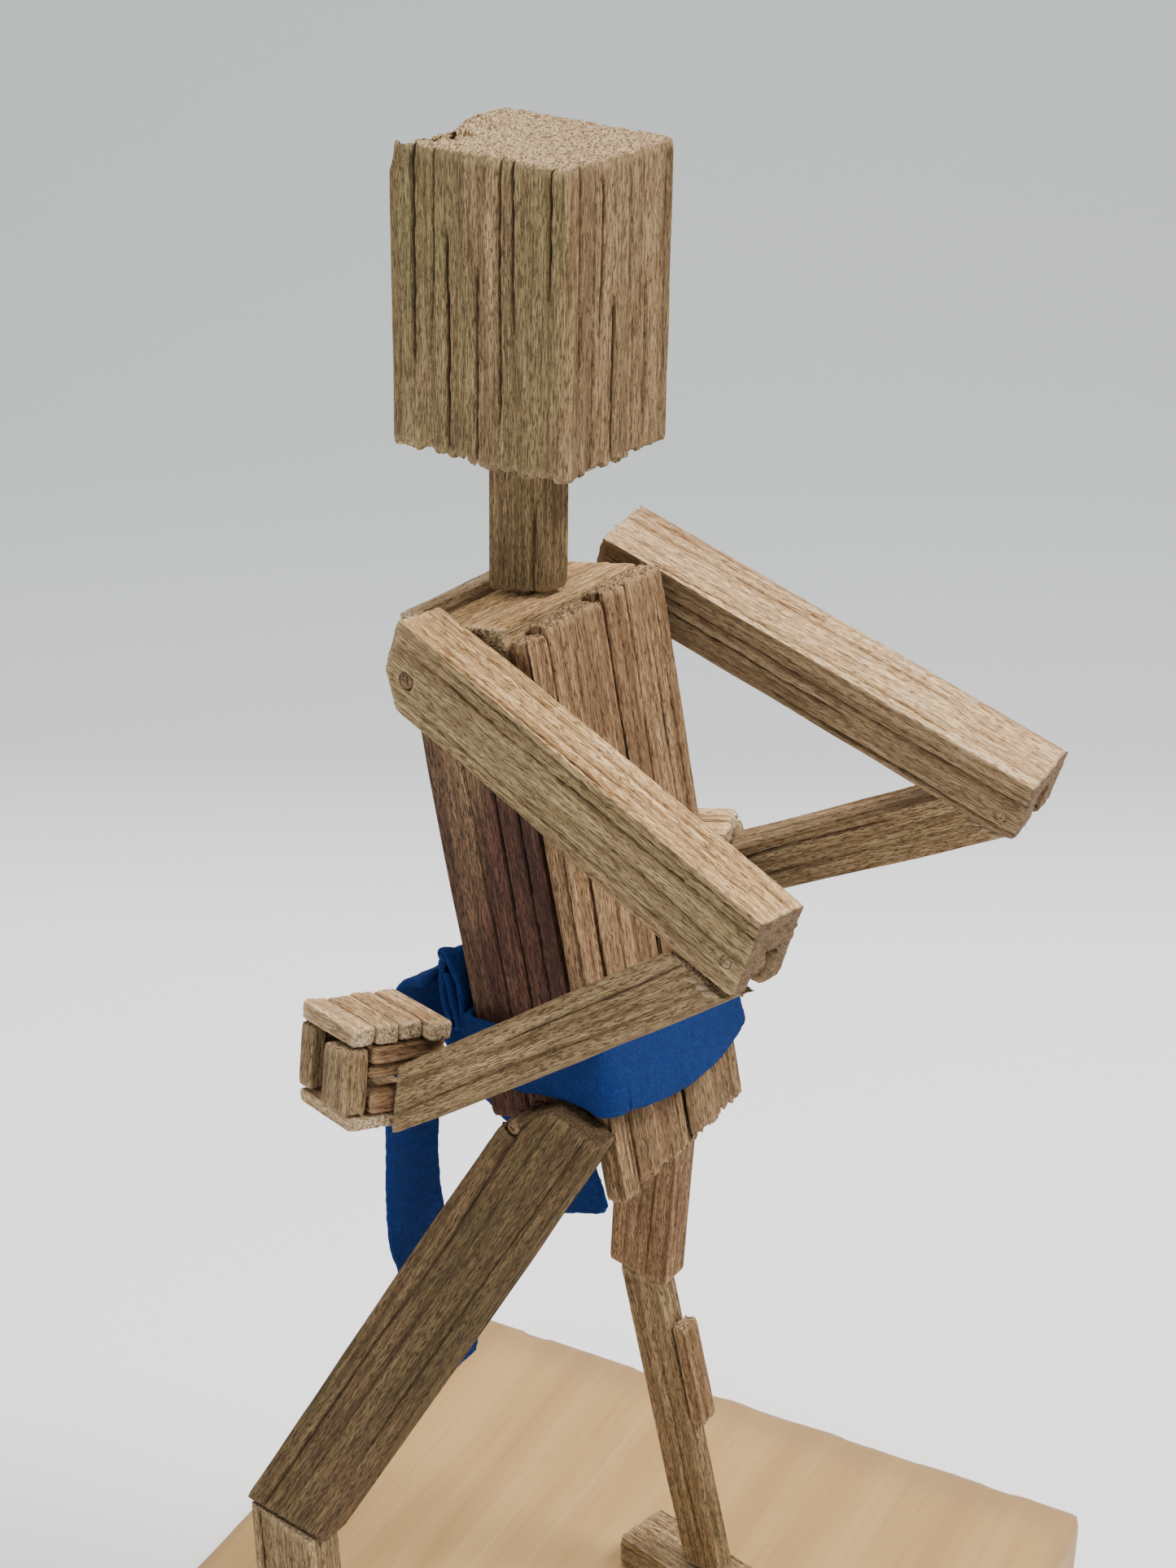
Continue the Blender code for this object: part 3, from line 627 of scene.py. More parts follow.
def wood_material(name, pale, mid, deep, patina_colour, crack_shade_colour, rings):
    """Weathered wood that follows the grain, rings, cracks and patina stored on its mesh."""
    s = Shader(name)
    grain = s.attribute("grain", "Vector")
    fine = s.noise(grain, (6.0, 6.0, 0.3), 6.0, 0.75)
    middle = s.noise(grain, (1.5, 1.5, 0.06), 4.0, 0.6)
    broad = s.noise(grain, (0.2, 0.2, 0.03), 3.0, 0.55)
    dash = s.noise(grain, (8.5, 8.5, 0.9), 2.5, 0.6)
    grit = s.noise(grain, (8.0, 8.0, 4.0), 3.0, 0.7)
    stripes = s.math("ADD", s.math("MULTIPLY", fine, 0.6), s.math("MULTIPLY", middle, 0.4))
    tone = s.ramp(stripes, ((0.38, deep), (0.5, mid), (0.62, pale)))
    old_dark = shade(*(part * 0.6 for part in patina_colour))
    old_pale = shade(*(min(part * 1.35, 255) for part in patina_colour))
    old = s.ramp(stripes, ((0.38, old_dark), (0.5, shade(*patina_colour)), (0.64, old_pale)))
    patchy = s.range(broad, 0.36, 0.62, 0.35, 1.15)
    # The patina attribute is real patina, taken off faces that look up as a painted highlight
    cover = s.math("MULTIPLY", s.attribute("patina"), patchy, clamp=True)
    tone = s.mix(cover, tone, old)
    wave = s.math("SINE", s.math("MULTIPLY", s.attribute("ring"), 2.0 * pi))
    ring_line = s.math("MULTIPLY", s.range(wave, 0.3, 1.0), rings)
    tone = s.mix(ring_line, tone, deep)
    pore = s.range(dash, 0.53, 0.6)
    tone = s.mix(s.math("MULTIPLY", pore, WOOD_PORES), tone, deep)
    lint = s.range(grit, 0.6, 0.72)
    tone = s.mix(s.math("MULTIPLY", lint, 0.5), tone, pale)
    stain = s.range(s.noise(grain, (0.45, 0.45, 0.1), 4.0, 0.6), 0.55, 0.72)
    tone = s.mix(s.math("MULTIPLY", stain, 0.3), tone, deep)
    # Darker where the relief is pushed in: painted shade in its dents
    tone = s.mix(s.math("MULTIPLY", s.attribute("dent"), 0.3), tone, deep)
    ends = s.range(s.noise(grain, (3.4, 3.4, 0.8), 4.0, 0.75), 0.42, 0.58)
    end_tone = s.mix(ends, deep, pale)
    tone = s.mix(s.math("MULTIPLY", s.attribute("end"), 0.8), tone, end_tone)
    # Painted shade on the ends where sticks meet at joints
    tone = s.mix(s.math("MULTIPLY", s.attribute("end_shade"), 0.85), tone, s.mix(fine, deep, END_SHADE_COLOUR))
    # Paler on the rounded edges
    paler_edges = s.math("MULTIPLY", s.attribute("edge"), 0.25)
    tone = s.mix(paler_edges, tone, pale)
    # Each stick's own tint, with painted light: lighter on faces that look up, darker on faces that look back
    warmer = s.mix(s.range(s.attribute("tint"), 0.0, 1.0), WHITE, LIGHTEST_TINT)
    darker = s.mix(s.range(s.attribute("tint"), 0.0, -1.0), WHITE, DARKEST_TINT)
    tone = s.mix(1.0, tone, warmer, "MULTIPLY")
    tone = s.mix(1.0, tone, darker, "MULTIPLY")
    # Painted shade in the cracks, darkest where they cut in deepest
    cut = s.range(s.attribute("crack"), 0.1, 0.55, 0.0, 0.9)
    tone = s.mix(cut, tone, crack_shade_colour)
    s.set("Base Color", tone)
    s.set("Roughness", s.range(fine, 0.2, 0.8, WOOD_ROUGH - 0.08, WOOD_ROUGH + 0.1))
    s.set("Specular IOR Level", 0.25)
    relief = s.math("SUBTRACT", s.math("ADD", fine, s.math("MULTIPLY", grit, 0.4)), pore)
    s.set("Normal", s.bump(relief, 0.9, 0.0003))
    return s.material


def board_material():
    """Smooth sanded softwood with a faint straight grain."""
    s = Shader("board")
    grain = s.attribute("grain", "Vector")
    broad = s.noise(grain, (0.06, 0.16, 0.008), 4.0, 0.6, 0.4)
    fine = s.noise(grain, (1.6, 1.6, 0.05), 4.0, 0.65)
    pore = s.noise(grain, (4.0, 4.0, 0.3), 3.0, 0.7)
    stops = ((0.3, shade(168, 131, 80)), (0.52, shade(180, 143, 90)), (0.7, shade(189, 153, 100)))
    tone = s.ramp(broad, stops)
    tone = s.mix(s.range(fine, 0.45, 0.75, 0.0, 0.3), tone, shade(156, 120, 74))
    tone = s.mix(s.range(pore, 0.6, 0.75, 0.0, 0.35), tone, shade(126, 94, 56))
    tone = s.mix(s.math("MULTIPLY", s.attribute("end"), 0.4), tone, shade(160, 128, 90))
    tone = s.mix(s.math("MULTIPLY", s.attribute("edge"), 0.5), tone, shade(150, 120, 86))
    s.set("Base Color", tone)
    s.set("Roughness", s.range(fine, 0.2, 0.8, 0.55, 0.72))
    s.set("Specular IOR Level", 0.35)
    s.set("Normal", s.bump(s.math("ADD", fine, pore), 0.3, 0.0001))
    return s.material


def felt_material():
    """Blue wool felt: matted fibres in every direction, with a pale bloom."""
    s = Shader("felt")
    place = s.attribute("grain", "Vector")
    mat = s.noise(place, (2.2, 2.2, 2.2), 6.0, 0.75, 1.2)
    hair = s.noise(place, (7.0, 7.0, 7.0), 4.0, 0.7, 2.5)
    patch = s.noise(place, (0.25, 0.25, 0.25), 3.0, 0.5)
    tone = s.ramp(mat, ((0.3, shade(4, 22, 68)), (0.52, shade(6, 38, 102)), (0.72, shade(22, 64, 138))))
    tone = s.mix(s.range(hair, 0.56, 0.72, 0.0, 0.5), tone, shade(48, 94, 164))
    tone = s.mix(s.range(patch, 0.5, 0.75, 0.0, 0.35), tone, shade(5, 30, 84))
    s.set("Base Color", tone)
    s.set("Roughness", 0.95)
    s.set("Specular IOR Level", 0.1)
    s.set("Sheen Weight", 0.2)
    s.set("Sheen Roughness", 0.6)
    s.set("Sheen Tint", shade(120, 160, 230))
    s.set("Normal", s.bump(s.math("ADD", mat, s.math("MULTIPLY", hair, 0.6)), 0.9, 0.0004))
    return s.material


def glue_material():
    """Clear craft glue gone slightly amber."""
    s = Shader("glue")
    place = s.node("ShaderNodeTexCoord").outputs["Object"]
    cloud = s.noise(place, (900.0, 900.0, 900.0), 3.0, 0.6)
    tone = s.mix(cloud, shade(150, 124, 86), shade(196, 172, 134))
    s.set("Base Color", tone)
    s.set("Roughness", s.range(cloud, 0.3, 0.7, 0.18, 0.4))
    s.set("Transmission Weight", 0.5)
    s.set("Normal", s.bump(cloud, 0.3, 0.0001))
    return s.material


# The dark colour painted into the cracks as shade
CRACK_SHADE = shade(54, 36, 22)
MATERIALS = {
    "board": board_material(),
    "weathered_wood": wood_material(
        "weathered_wood", shade(240, 210, 164), shade(196, 161, 116), shade(102, 74, 46),
        (160, 143, 97), CRACK_SHADE, 0.3),
    "warm_wood": wood_material(
        "warm_wood", shade(224, 185, 140), shade(176, 136, 96), shade(92, 61, 37),
        (148, 124, 86), CRACK_SHADE, 0.4),
    # Dark wood, which on the chest block also paints the arm's shadow
    "dark_wood": wood_material(
        "dark_wood", shade(152, 108, 84), shade(102, 68, 54), shade(56, 36, 29),
        (142, 113, 82), shade(28, 17, 13), 0.4),
    "tan_wood": wood_material(
        "tan_wood", shade(248, 224, 184), shade(224, 190, 146), shade(134, 100, 66),
        (176, 152, 108), CRACK_SHADE, 0.3),
    "peg_wood": wood_material(
        "peg_wood", shade(170, 138, 98), shade(122, 92, 64), shade(64, 44, 30),
        (112, 92, 64), shade(30, 20, 13), 0.5),
    "felt": felt_material(),
    "glue": glue_material(),
}
FELT = MATERIALS["felt"]
GLUE = MATERIALS["glue"]

# ---- camera, light and floor

def make_camera():
    """Makes the camera, and returns its way back and its level way right."""
    data = bpy.data.cameras.new("camera")
    data.lens = CAMERA_LENS
    data.sensor_width = SENSOR_WIDTH
    data.clip_start = CLIP_START
    camera = link("camera", data)
    azimuth, pitch, roll = (radians(a) for a in (CAMERA_AZIMUTH, CAMERA_PITCH, CAMERA_ROLL))
    back = Vector((sin(azimuth) * cos(pitch), -cos(azimuth) * cos(pitch), sin(pitch)))
    right = Vector((cos(azimuth), sin(azimuth), 0.0))
    up = back.cross(right)
    across = right * cos(roll) + up * sin(roll)
    upward = back.cross(across)
    turn = Matrix((across, upward, back)).transposed()
    camera.matrix_world = Matrix.Translation(Vector(CAMERA_PLACE) * MM) @ turn.to_4x4()
    bpy.context.scene.camera = camera
    return back, right


def area_light(name, place, size, power, colour):
    data = bpy.data.lights.new(name, "AREA")
    data.shape = "DISK"
    data.size = size
    data.energy = power
    data.color = colour
    made = link(name, data)
    made.location = Vector(place)
    made.rotation_euler = (Vector(LIGHT_AIM) - Vector(place)).to_track_quat("-Z", "Y").to_euler()


FLOOR_NEAR = -1.5
FLOOR_FAR = 0.55
FLOOR_HALF_WIDTH = 2.5
FLOOR_BEND = 0.45
BEND_STEPS = 16
WALL_TOP = 2.5
RISE_SHARE = 0.6
# Painted light on the paper, bright round the object and darker further behind it and up the wall:
# its colour by how far behind the object it is, plus RISE_SHARE of its height
FLOOR_LIGHT_STOPS = (
    (0.12, shade(255, 254, 255)),
    (0.24, shade(250, 249, 254)),
    (0.34, shade(199, 200, 204)),
    (0.5, shade(190, 193, 194)),
    (0.9, shade(179, 186, 182)),
)


def make_stage(back, right):
    """A pale sweep: a floor that curves up into a wall far behind the object."""
    away = Vector((-back.x, -back.y, 0.0)).normalized()
    side = Vector((right.x, right.y, 0.0)).normalized()
    profile = [(FLOOR_NEAR, 0.0), (FLOOR_FAR, 0.0)]
    for step in range(1, BEND_STEPS + 1):
        angle = 0.5 * pi * step / BEND_STEPS
        profile.append((FLOOR_FAR + FLOOR_BEND * sin(angle), FLOOR_BEND * (1.0 - cos(angle))))
    profile.append((FLOOR_FAR + FLOOR_BEND, WALL_TOP))
    points = []
    for reach, height in profile:
        for across in (-FLOOR_HALF_WIDTH, FLOOR_HALF_WIDTH):
            spot = away * reach + side * across
            points.append((spot.x, spot.y, height))
    faces = [(2 * i, 2 * i + 1, 2 * i + 3, 2 * i + 2) for i in range(len(profile) - 1)]
    mesh = bpy.data.meshes.new("floor")
    mesh.from_pydata(points, [], faces)
    mesh.shade_smooth()
    s = Shader("floor_paper")
    # The paper's colour is painted light: bright round the object, darker behind it and up the wall
    spot = s.node("ShaderNodeNewGeometry").outputs["Position"]
    axis = s.node("ShaderNodeVectorMath", operation="DOT_PRODUCT")
    s.feed(axis.inputs[0], spot)
    axis.inputs[1].default_value = (away.x, away.y, RISE_SHARE)
    s.set("Base Color", s.ramp(axis.outputs["Value"], FLOOR_LIGHT_STOPS))
    s.set("Roughness", 0.9)
    mesh.materials.append(s.material)
    link("floor", mesh)


def make_world():
    world = bpy.data.worlds.new("studio")
    world.use_nodes = True
    background = world.node_tree.nodes["Background"]
    background.inputs["Color"].default_value = WORLD_COLOUR
    background.inputs["Strength"].default_value = WORLD_STRENGTH
    bpy.context.scene.world = world


WORLD_COLOUR = (0.93, 0.95, 1.0, 1.0)
WORLD_STRENGTH = 0.62
LIGHT_AIM = (0.0, 0.0, 0.12)
# Name, place, size, power and colour
LIGHTS = (
    ("key_light", (-0.05, 0.55, 0.95), 0.35, 13.0, (1.0, 0.97, 0.93)),
    ("top_light", (-0.25, -0.15, 1.0), 0.7, 7.0, (1.0, 0.98, 0.96)),
    ("fill_light", (0.9, -0.35, 0.5), 0.8, 4.0, (0.95, 0.97, 1.0)),
)
camera_back, camera_right = make_camera()
make_stage(camera_back, camera_right)
make_world()
for light in LIGHTS:
    area_light(*light)

# ---- the sticks

LEFT = figure_way(1, 0, 0)
RIGHT = figure_way(-1, 0, 0)
BACK = figure_way(0, 1, 0)
FRONT = figure_way(0, -1, 0)
UP = figure_way(0, 0, 1)
DOWN = figure_way(0, 0, -1)

head_low, head_high = (np.array(corner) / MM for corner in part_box("head_block"))
HEAD_TOP = np.array(((head_low[0] + head_high[0]) / 2, (head_low[1] + head_high[1]) / 2, head_high[2]))
HEAD_BITES = (
    (HEAD_TOP + 9.5 * FRONT + 4.0 * LEFT, 5.0, 1.6),
    (HEAD_TOP + 8.5 * FRONT + 0.5 * RIGHT, 3.6, 1.3),
    (HEAD_TOP + 10.5 * FRONT + 8.0 * LEFT, 3.0, 0.9),
)

BACK_STRIP = dict(look="warm_wood", cracks=16, deepest=1.0, relief=0.22, fray_reach=2.6, slivers=(16, 8),
                  patina=0.3, out=0.15, tint=-0.15, fades=((DOWN, 2.0, 24.0, 0.5),))
STICKS = {
    "base_board": dict(look="board", step=BOARD_STEP, relief=0.02, wave=0.03, cracks=0, wear=0.5, ring=7.0,
                       ring_turn=80.0, fray=(0.0, 0.0), slivers=(0, 0), patina=0.0),
    "head_block": dict(cracks=28, deepest=1.0, crack_width=0.26, ring=3.4, ring_turn=62.0, relief=0.18,
                       fray=(1.5, 0.5), fray_reach=3.0, slivers=(50, 26), patina=0.15, wave=0.12, out=0.55,
                       tint=-0.36, patina_and_light_ways=((LEFT, 0.85), (FRONT, 0.5)),
                       painted_light_ways=((BACK, -0.2), (UP, 0.4)), bites=HEAD_BITES),
    "neck_post": dict(cracks=4, fray=(0.2, 0.2), patina=0.75, tint=-0.58, ring=1.1, out=0.45),
    # The chest block is partly dark wood and partly painted shadow of the arm, lighter only at its front
    "chest_block": dict(look="dark_wood", cracks=14, deepest=0.9, relief=0.18, ring=2.2, ring_turn=80.0,
                        fray=(0.6, 0.3), slivers=(10, 4), patina=0.0, tint=-0.2,
                        fades=((FRONT, 1.0, 4.5, 1.0),)),
    "shoulder_beam": dict(cracks=9, deepest=0.7, patina=0.3, ring=1.3, painted_light_ways=((UP, 0.7),)),
    "collar_stick": dict(look="tan_wood", cracks=6, fray=(0.6, 0.6), patina=0.3, slivers=(8, 8), wave=0.3),
    "back_strip_1": dict(look="warm_wood", cracks=6, relief=0.2, fray=(0.9, 0.5), slivers=(8, 5), patina=0.35,
                         out=0.15, tint=-0.15, fades=((DOWN, 2.0, 24.0, 0.5),)),
    "back_strip_2": dict(BACK_STRIP, ring=1.5, ring_turn=8.0, fray=(1.5, 0.8)),
    "back_strip_3": dict(BACK_STRIP, ring=1.8, ring_turn=-6.0, fray=(1.6, 0.8)),
    "upper_arm": dict(cracks=14, deepest=0.7, relief=0.16, ring=1.9, fray=(0.25, 0.35), slivers=(6, 8),
                      patina=0.4, wave=0.15, out=0.15, patina_and_light_ways=((LEFT, 0.2), (UP, -0.3)),
                      painted_light_ways=((UP, 0.75),), end_shade=(0.2, 0.95)),
    "right_upper_arm": dict(look="tan_wood", cracks=16, deepest=0.8, relief=0.2, ring=1.7, fray=(0.3, 0.35),
                            slivers=(8, 8), patina=0.75, wave=0.15, out=0.15, patina_and_light_ways=((UP, -0.65),),
                            tint=-0.5, painted_light_ways=((UP, 0.95),), end_shade=(0.2, 0.8)),
    "forearm": dict(cracks=9, deepest=0.6, ring=1.4, patina=0.5, tint=-0.45, fray=(0.15, 0.15),
                    slivers=(3, 3)),
    "right_forearm": dict(cracks=9, deepest=0.5, ring=1.4, patina=0.35, tint=-0.3, fray=(0.15, 0.15),
                          slivers=(3, 3)),
    "thigh": dict(cracks=12, deepest=0.7, ring=1.7, patina=0.75, tint=-0.95, fray=(0.03, 0.25),
                  end_shade=(0.4, 0.8)),
    "right_thigh": dict(look="warm_wood", cracks=8, deepest=0.5, ring=1.7, patina=0.3, tint=-0.3,
                        fray=(0.03, 0.25), end_shade=(0.4, 0.6)),
    "shin": dict(cracks=8, deepest=0.6, ring=1.4, patina=0.5, tint=-0.4, fray=(0.1, 0.03), end_shade=(0.4, 0.4)),
    "foot": dict(cracks=6, deepest=0.5, ring=1.5, patina=0.5, tint=-0.3),
    "right_shin_splice": dict(look="warm_wood", cracks=3, deepest=0.4, patina=0.4, fray=(0.8, 0.8)),
    "finger": dict(look="tan_wood", cracks=2, deepest=0.3, crack_width=0.16, relief=0.08, patina=0.1,
                   painted_light_ways=((UP, 0.9),),
                   fray=(0.45, 0.45), bundle=0.5, slivers=(5, 5), wave=0.04, wear=0.5, out=0.2),
    "palm": dict(look="tan_wood", cracks=4, deepest=0.3, crack_width=0.16, relief=0.1, patina=0.3,
                 fray=(0.4, 0.4), slivers=(6, 6), out=0.12),
    "post": dict(cracks=2, deepest=0.3, crack_width=0.16, relief=0.1, patina=0.4, tint=-0.5, fray=(0.1, 0.1),
                 slivers=(1, 1), wave=0.05, out=0.2),
    "bar": dict(look="warm_wood", tint=-0.35, cracks=2, deepest=0.3, crack_width=0.16, relief=0.1, patina=0.3,
                fray=(0.25, 0.25), slivers=(2, 2), wave=0.04, out=0.16),
    "elbow_pin": dict(step=PIN_STEP, cracks=0, relief=0.03, ring=1.9, wave=0.01, out=0.12, fray=(0.05, 0.05),
                      slivers=(0, 0), wear=0.3, patina=0.75, end_shade=(0.3, 0.3), round=True),
    "dowel": dict(look="peg_wood", step=PIN_STEP, cracks=2, deepest=0.15, crack_width=0.12, relief=0.03,
                  ring=0.5, wave=0.01, fray=(0.12, 0.12), bundle=0.3, slivers=(0, 0), wear=0.4, round=True),
}
STICKS["peg"] = STICKS["dowel"]
STICKS["pin"] = STICKS["dowel"]
SOFT_NODES = ("belt_band", "belt_knot", "belt_tail_left", "belt_tail_right")


def stick_kind(node):
    """The look of a node: its own name first, then the kind that its name ends with."""
    if node in STICKS:
        return STICKS[node]
    plain = node.rstrip("0123456789_")
    found = [kind for kind in STICKS if plain.endswith(kind)]
    return STICKS[max(found, key=len)]


bodies = frame["record"]["behaviour"]["bodies"]
number = 0
for body, nodes in bodies.items():
    for node in nodes:
        number += 1
        if node not in SOFT_NODES:
            weather(node, body, number, **stick_kind(node))


def extent(node, axes):
    """The lowest and highest corner of a CAD node along other axes, in millimetres."""
    points = mesh_arrays(frame["nodes"][node].data) / MM @ axes.T
    return points.min(0), points.max(0)


HOLLOW_SHADE_THICK = 1.1
HOLLOW_SHADE_MARGIN = 0.5
HOLLOW_SHADE_INSET = 0.1
HOLLOW_SHADE_SINK = 0.1


def fist_hollow_shade(word):
    """A thin stick inside a fist, which closes the hollow's forward side from palm to fingers; tinted very dark,
    it paints the shade in the hollow.
    """
    axes = grain_axes(frame["nodes"][word + "_palm"].data, False)
    up = axes[0] * np.sign(axes[0][2])
    facing = max((axes[1], axes[2]), key=lambda way: abs(way @ FRONT))
    facing = facing * np.sign(facing @ FRONT)
    own = np.array([facing, np.cross(up, facing), up])
    low, high = extent(word + "_palm", own)
    finger_low = min(extent("%s_finger_%d" % (word, index), own)[0][2] for index in range(1, 5))
    near = (high[0] - HOLLOW_SHADE_THICK, low[1] + HOLLOW_SHADE_MARGIN, high[2] - HOLLOW_SHADE_SINK)
    far = (high[0] - HOLLOW_SHADE_INSET, high[1] - HOLLOW_SHADE_MARGIN, finger_low + HOLLOW_SHADE_SINK)
    shape = bmesh.new()
    bmesh.ops.create_cube(shape, size=1.0)
    mesh = bpy.data.meshes.new(word + "_fist_hollow_shade")
    shape.to_mesh(mesh)
    shape.free()
    points = mesh_arrays(mesh) * np.subtract(far, near) + np.add(far, near) / 2
    mesh.vertices.foreach_set("co", (points @ own * MM).ravel())
    mesh.update()
    return mesh


# Each fist gets a very dark stick in its hollow: painted shade where the hollow lies in shadow
for word in ("left", "right"):
    number += 1
    weather(word + "_fist_hollow_shade", word + "_hand", number, mesh=fist_hollow_shade(word), look="warm_wood",
            tint=-0.9, cracks=2, deepest=0.2, relief=0.06, fray=(0.05, 0.05), slivers=(0, 0), wave=0.02)

# ---- the belt

def torso_axes():
    """The torso's left, back and up directions, from the chest block."""
    axes = grain_axes(frame["nodes"]["chest_block"].data, False)
    up = axes[2]
    back = max((axes[0], -axes[0], axes[1], -axes[1]), key=lambda way: way @ BACK)
    return np.array([np.cross(back, up), back, up])


def curve_through(values, count):
    """Values read evenly from a smooth Catmull-Rom curve through a few rows of numbers."""
    values = np.array(values, float)
    values = np.vstack([2 * values[0] - values[1], values, 2 * values[-1] - values[-2]])
    spans = len(values) - 3
    places = np.linspace(0, spans, count)
    index = np.minimum(places.astype(int), spans - 1)
    t = (places - index)[:, None]
    a, b, c, d = (values[index + k] for k in range(4))
    return 0.5 * (2 * b + (c - a) * t + (2 * a - 5 * b + 4 * c - d) * t**2 + (3 * b - a - 3 * c + d) * t**3)


def cloth_strip(name, centres, acrosses, widths, seed, closed=False):
    """A felt strip swept along its middle line: a thick soft edge, uneven cuts and a matted face."""
    count = len(centres)
    if closed:
        along = np.roll(centres, -1, axis=0) - np.roll(centres, 1, axis=0)
    else:
        along = np.gradient(centres, axis=0)
    along /= np.linalg.norm(along, axis=1)[:, None]
    acrosses = acrosses - (acrosses * along).sum(1)[:, None] * along
    acrosses /= np.linalg.norm(acrosses, axis=1)[:, None]
    through = np.cross(along, acrosses)
    half = FELT_THICK / 2
    columns = int(FELT_WIDTH / FELT_STEP)
    section = [(t, half) for t in np.linspace(-1, 1, columns)]
    section += [(1.0 + half * sin(a) * EDGE_BULGE, half * cos(a)) for a in np.linspace(0.5, pi - 0.5, 4)]
    section += [(t, -half) for t in np.linspace(1, -1, columns)]
    section += [(-1.0 - half * sin(a) * EDGE_BULGE, half * cos(a)) for a in np.linspace(pi - 0.5, 0.5, 4)]
    section = np.array(section)
    line = np.zeros((count, 3))
    line[:, 2] = np.arange(count) * FELT_STEP
    rows = []
    for t, lift in section:
        edge = 0.16 * noise(line + (9.0 * np.sign(t), 0, 0), (1, 1, 0.35), seed) * abs(t)
        reach = (widths / 2) * t + edge
        rows.append(centres + acrosses * reach[:, None] + through * lift)
    grid = np.stack(rows, axis=1)
    width = len(section)
    points = grid.reshape(-1, 3)
    faces = []
    for row in range(count if closed else count - 1):
        following = (row + 1) % count
        for column in range(width):
            after = (column + 1) % width
            faces.append((row * width + column, row * width + after,
                          following * width + after, following * width + column))
    if not closed:
        faces.append(tuple(range(width - 1, -1, -1)))
        faces.append(tuple((count - 1) * width + column for column in range(width)))
    mesh = bpy.data.meshes.new(name)
    mesh.from_pydata(points * MM, [], faces)
    mesh.update()
    normals = mesh_normals(mesh)
    pile = 0.055 * noise(points, (2.6, 2.6, 2.6), seed + 1) + 0.05 * noise(points, (1.1, 1.1, 1.1), seed + 2)
    points = points + normals * pile[:, None]
    mesh.vertices.foreach_set("co", (points * MM).ravel())
    set_attribute(mesh, "grain", points + seed)
    mesh.update()
    mesh.shade_smooth()
    mesh.materials.append(FELT)
    made = link(name, mesh)
    length = np.linalg.norm(np.diff(centres, axis=0), axis=1).sum()
    if closed:
        length += np.linalg.norm(centres[0] - centres[-1])
    return made, length


def declare_felt(made, node):
    """Hides the strip's CAD node and puts the felt on the stand's body. The strip's real cut is
    narrower than a declared sheet may be, so area holds its true size.
    """
    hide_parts(node)
    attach(made, "stand")


BAND_CORNER = 1.7
CORNER_STEPS = 4
BACK_DROP = 1.0
BACK_SAG = 1.9
BACK_BULGE = 1.0
BACK_WIDER = 0.9
BACK_LEAN = 0.22
LEFT_SAG = 0.7
LEFT_BULGE = 0.5


def make_band(axes):
    """The band: a strip round the torso that sags and stands off at the back."""
    low, high = extent("belt_band", axes)
    half = FELT_THICK / 2
    low_x, high_x = low[0] + half, high[0] - half
    low_y, high_y = low[1] + half, high[1] - half
    path = []
    rings = ((high_x, high_y, 0), (low_x, high_y, 90), (low_x, low_y, 180), (high_x, low_y, 270))
    for x, y, start in rings:
        centre_x = x - BAND_CORNER if x > (low_x + high_x) / 2 else x + BAND_CORNER
        centre_y = y - BAND_CORNER if y > (low_y + high_y) / 2 else y + BAND_CORNER
        for step in range(CORNER_STEPS + 1):
            angle = radians(start + 90.0 * step / CORNER_STEPS)
            path.append((centre_x + BAND_CORNER * cos(angle), centre_y + BAND_CORNER * sin(angle)))
    path = np.array(path + path[:1])
    steps = np.linalg.norm(np.diff(path, axis=0), axis=1)
    places = np.concatenate([[0], np.cumsum(steps)])
    count = int(places[-1] / FELT_STEP)
    even = np.linspace(0, places[-1], count, endpoint=False)
    x = np.interp(even, places, path[:, 0])
    y = np.interp(even, places, path[:, 1])
    share_x = np.clip((x - low_x) / (high_x - low_x), 0, 1)
    middle_back = 4 * share_x * (1 - share_x)
    at_back = smooth_step(high_y - 6.0, high_y - 0.2, y)
    at_left = smooth_step(high_x - 3.0, high_x - 0.2, x)
    share_y = np.clip((y - low_y) / (high_y - low_y), 0, 1)
    sag = at_back * (BACK_DROP + BACK_SAG * middle_back) + LEFT_SAG * at_left * share_y
    bulge = BACK_BULGE * at_back * middle_back + LEFT_BULGE * at_left * 4 * share_y * (1 - share_y)
    middle_z = (low[2] + high[2]) / 2
    centres = np.stack([x, y, middle_z - sag], axis=1)
    centres[:, 1] += bulge * at_back
    centres[:, 0] += bulge * at_left * (1 - at_back)
    acrosses = np.tile((0.0, 0.0, 1.0), (count, 1))
    acrosses[:, 1] -= BACK_LEAN * at_back * middle_back
    widths = (high[2] - low[2]) + BACK_WIDER * at_back
    made, length = cloth_strip("belt_band_felt", centres @ axes, acrosses @ axes, widths, 31, closed=True)
    declare_felt(made, "belt_band")


KNOT_SHIFT = 2.2
KNOT_STAGGER = 0.3
KNOT_NARROWER = 1.2
KNOT_FOLD = 1.0
KNOT_ROWS = 110
# The folded strip seen end on, in shares of the CAD knot's depth and height
KNOT_PROFILE = (
    (1.1, -0.25), (1.12, 0.35), (1.05, 0.7), (0.86, 0.82), (0.62, 0.6), (0.6, 0.3),
    (0.66, -0.05), (0.88, -0.15), (0.86, 0.25), (0.82, 0.5),
)


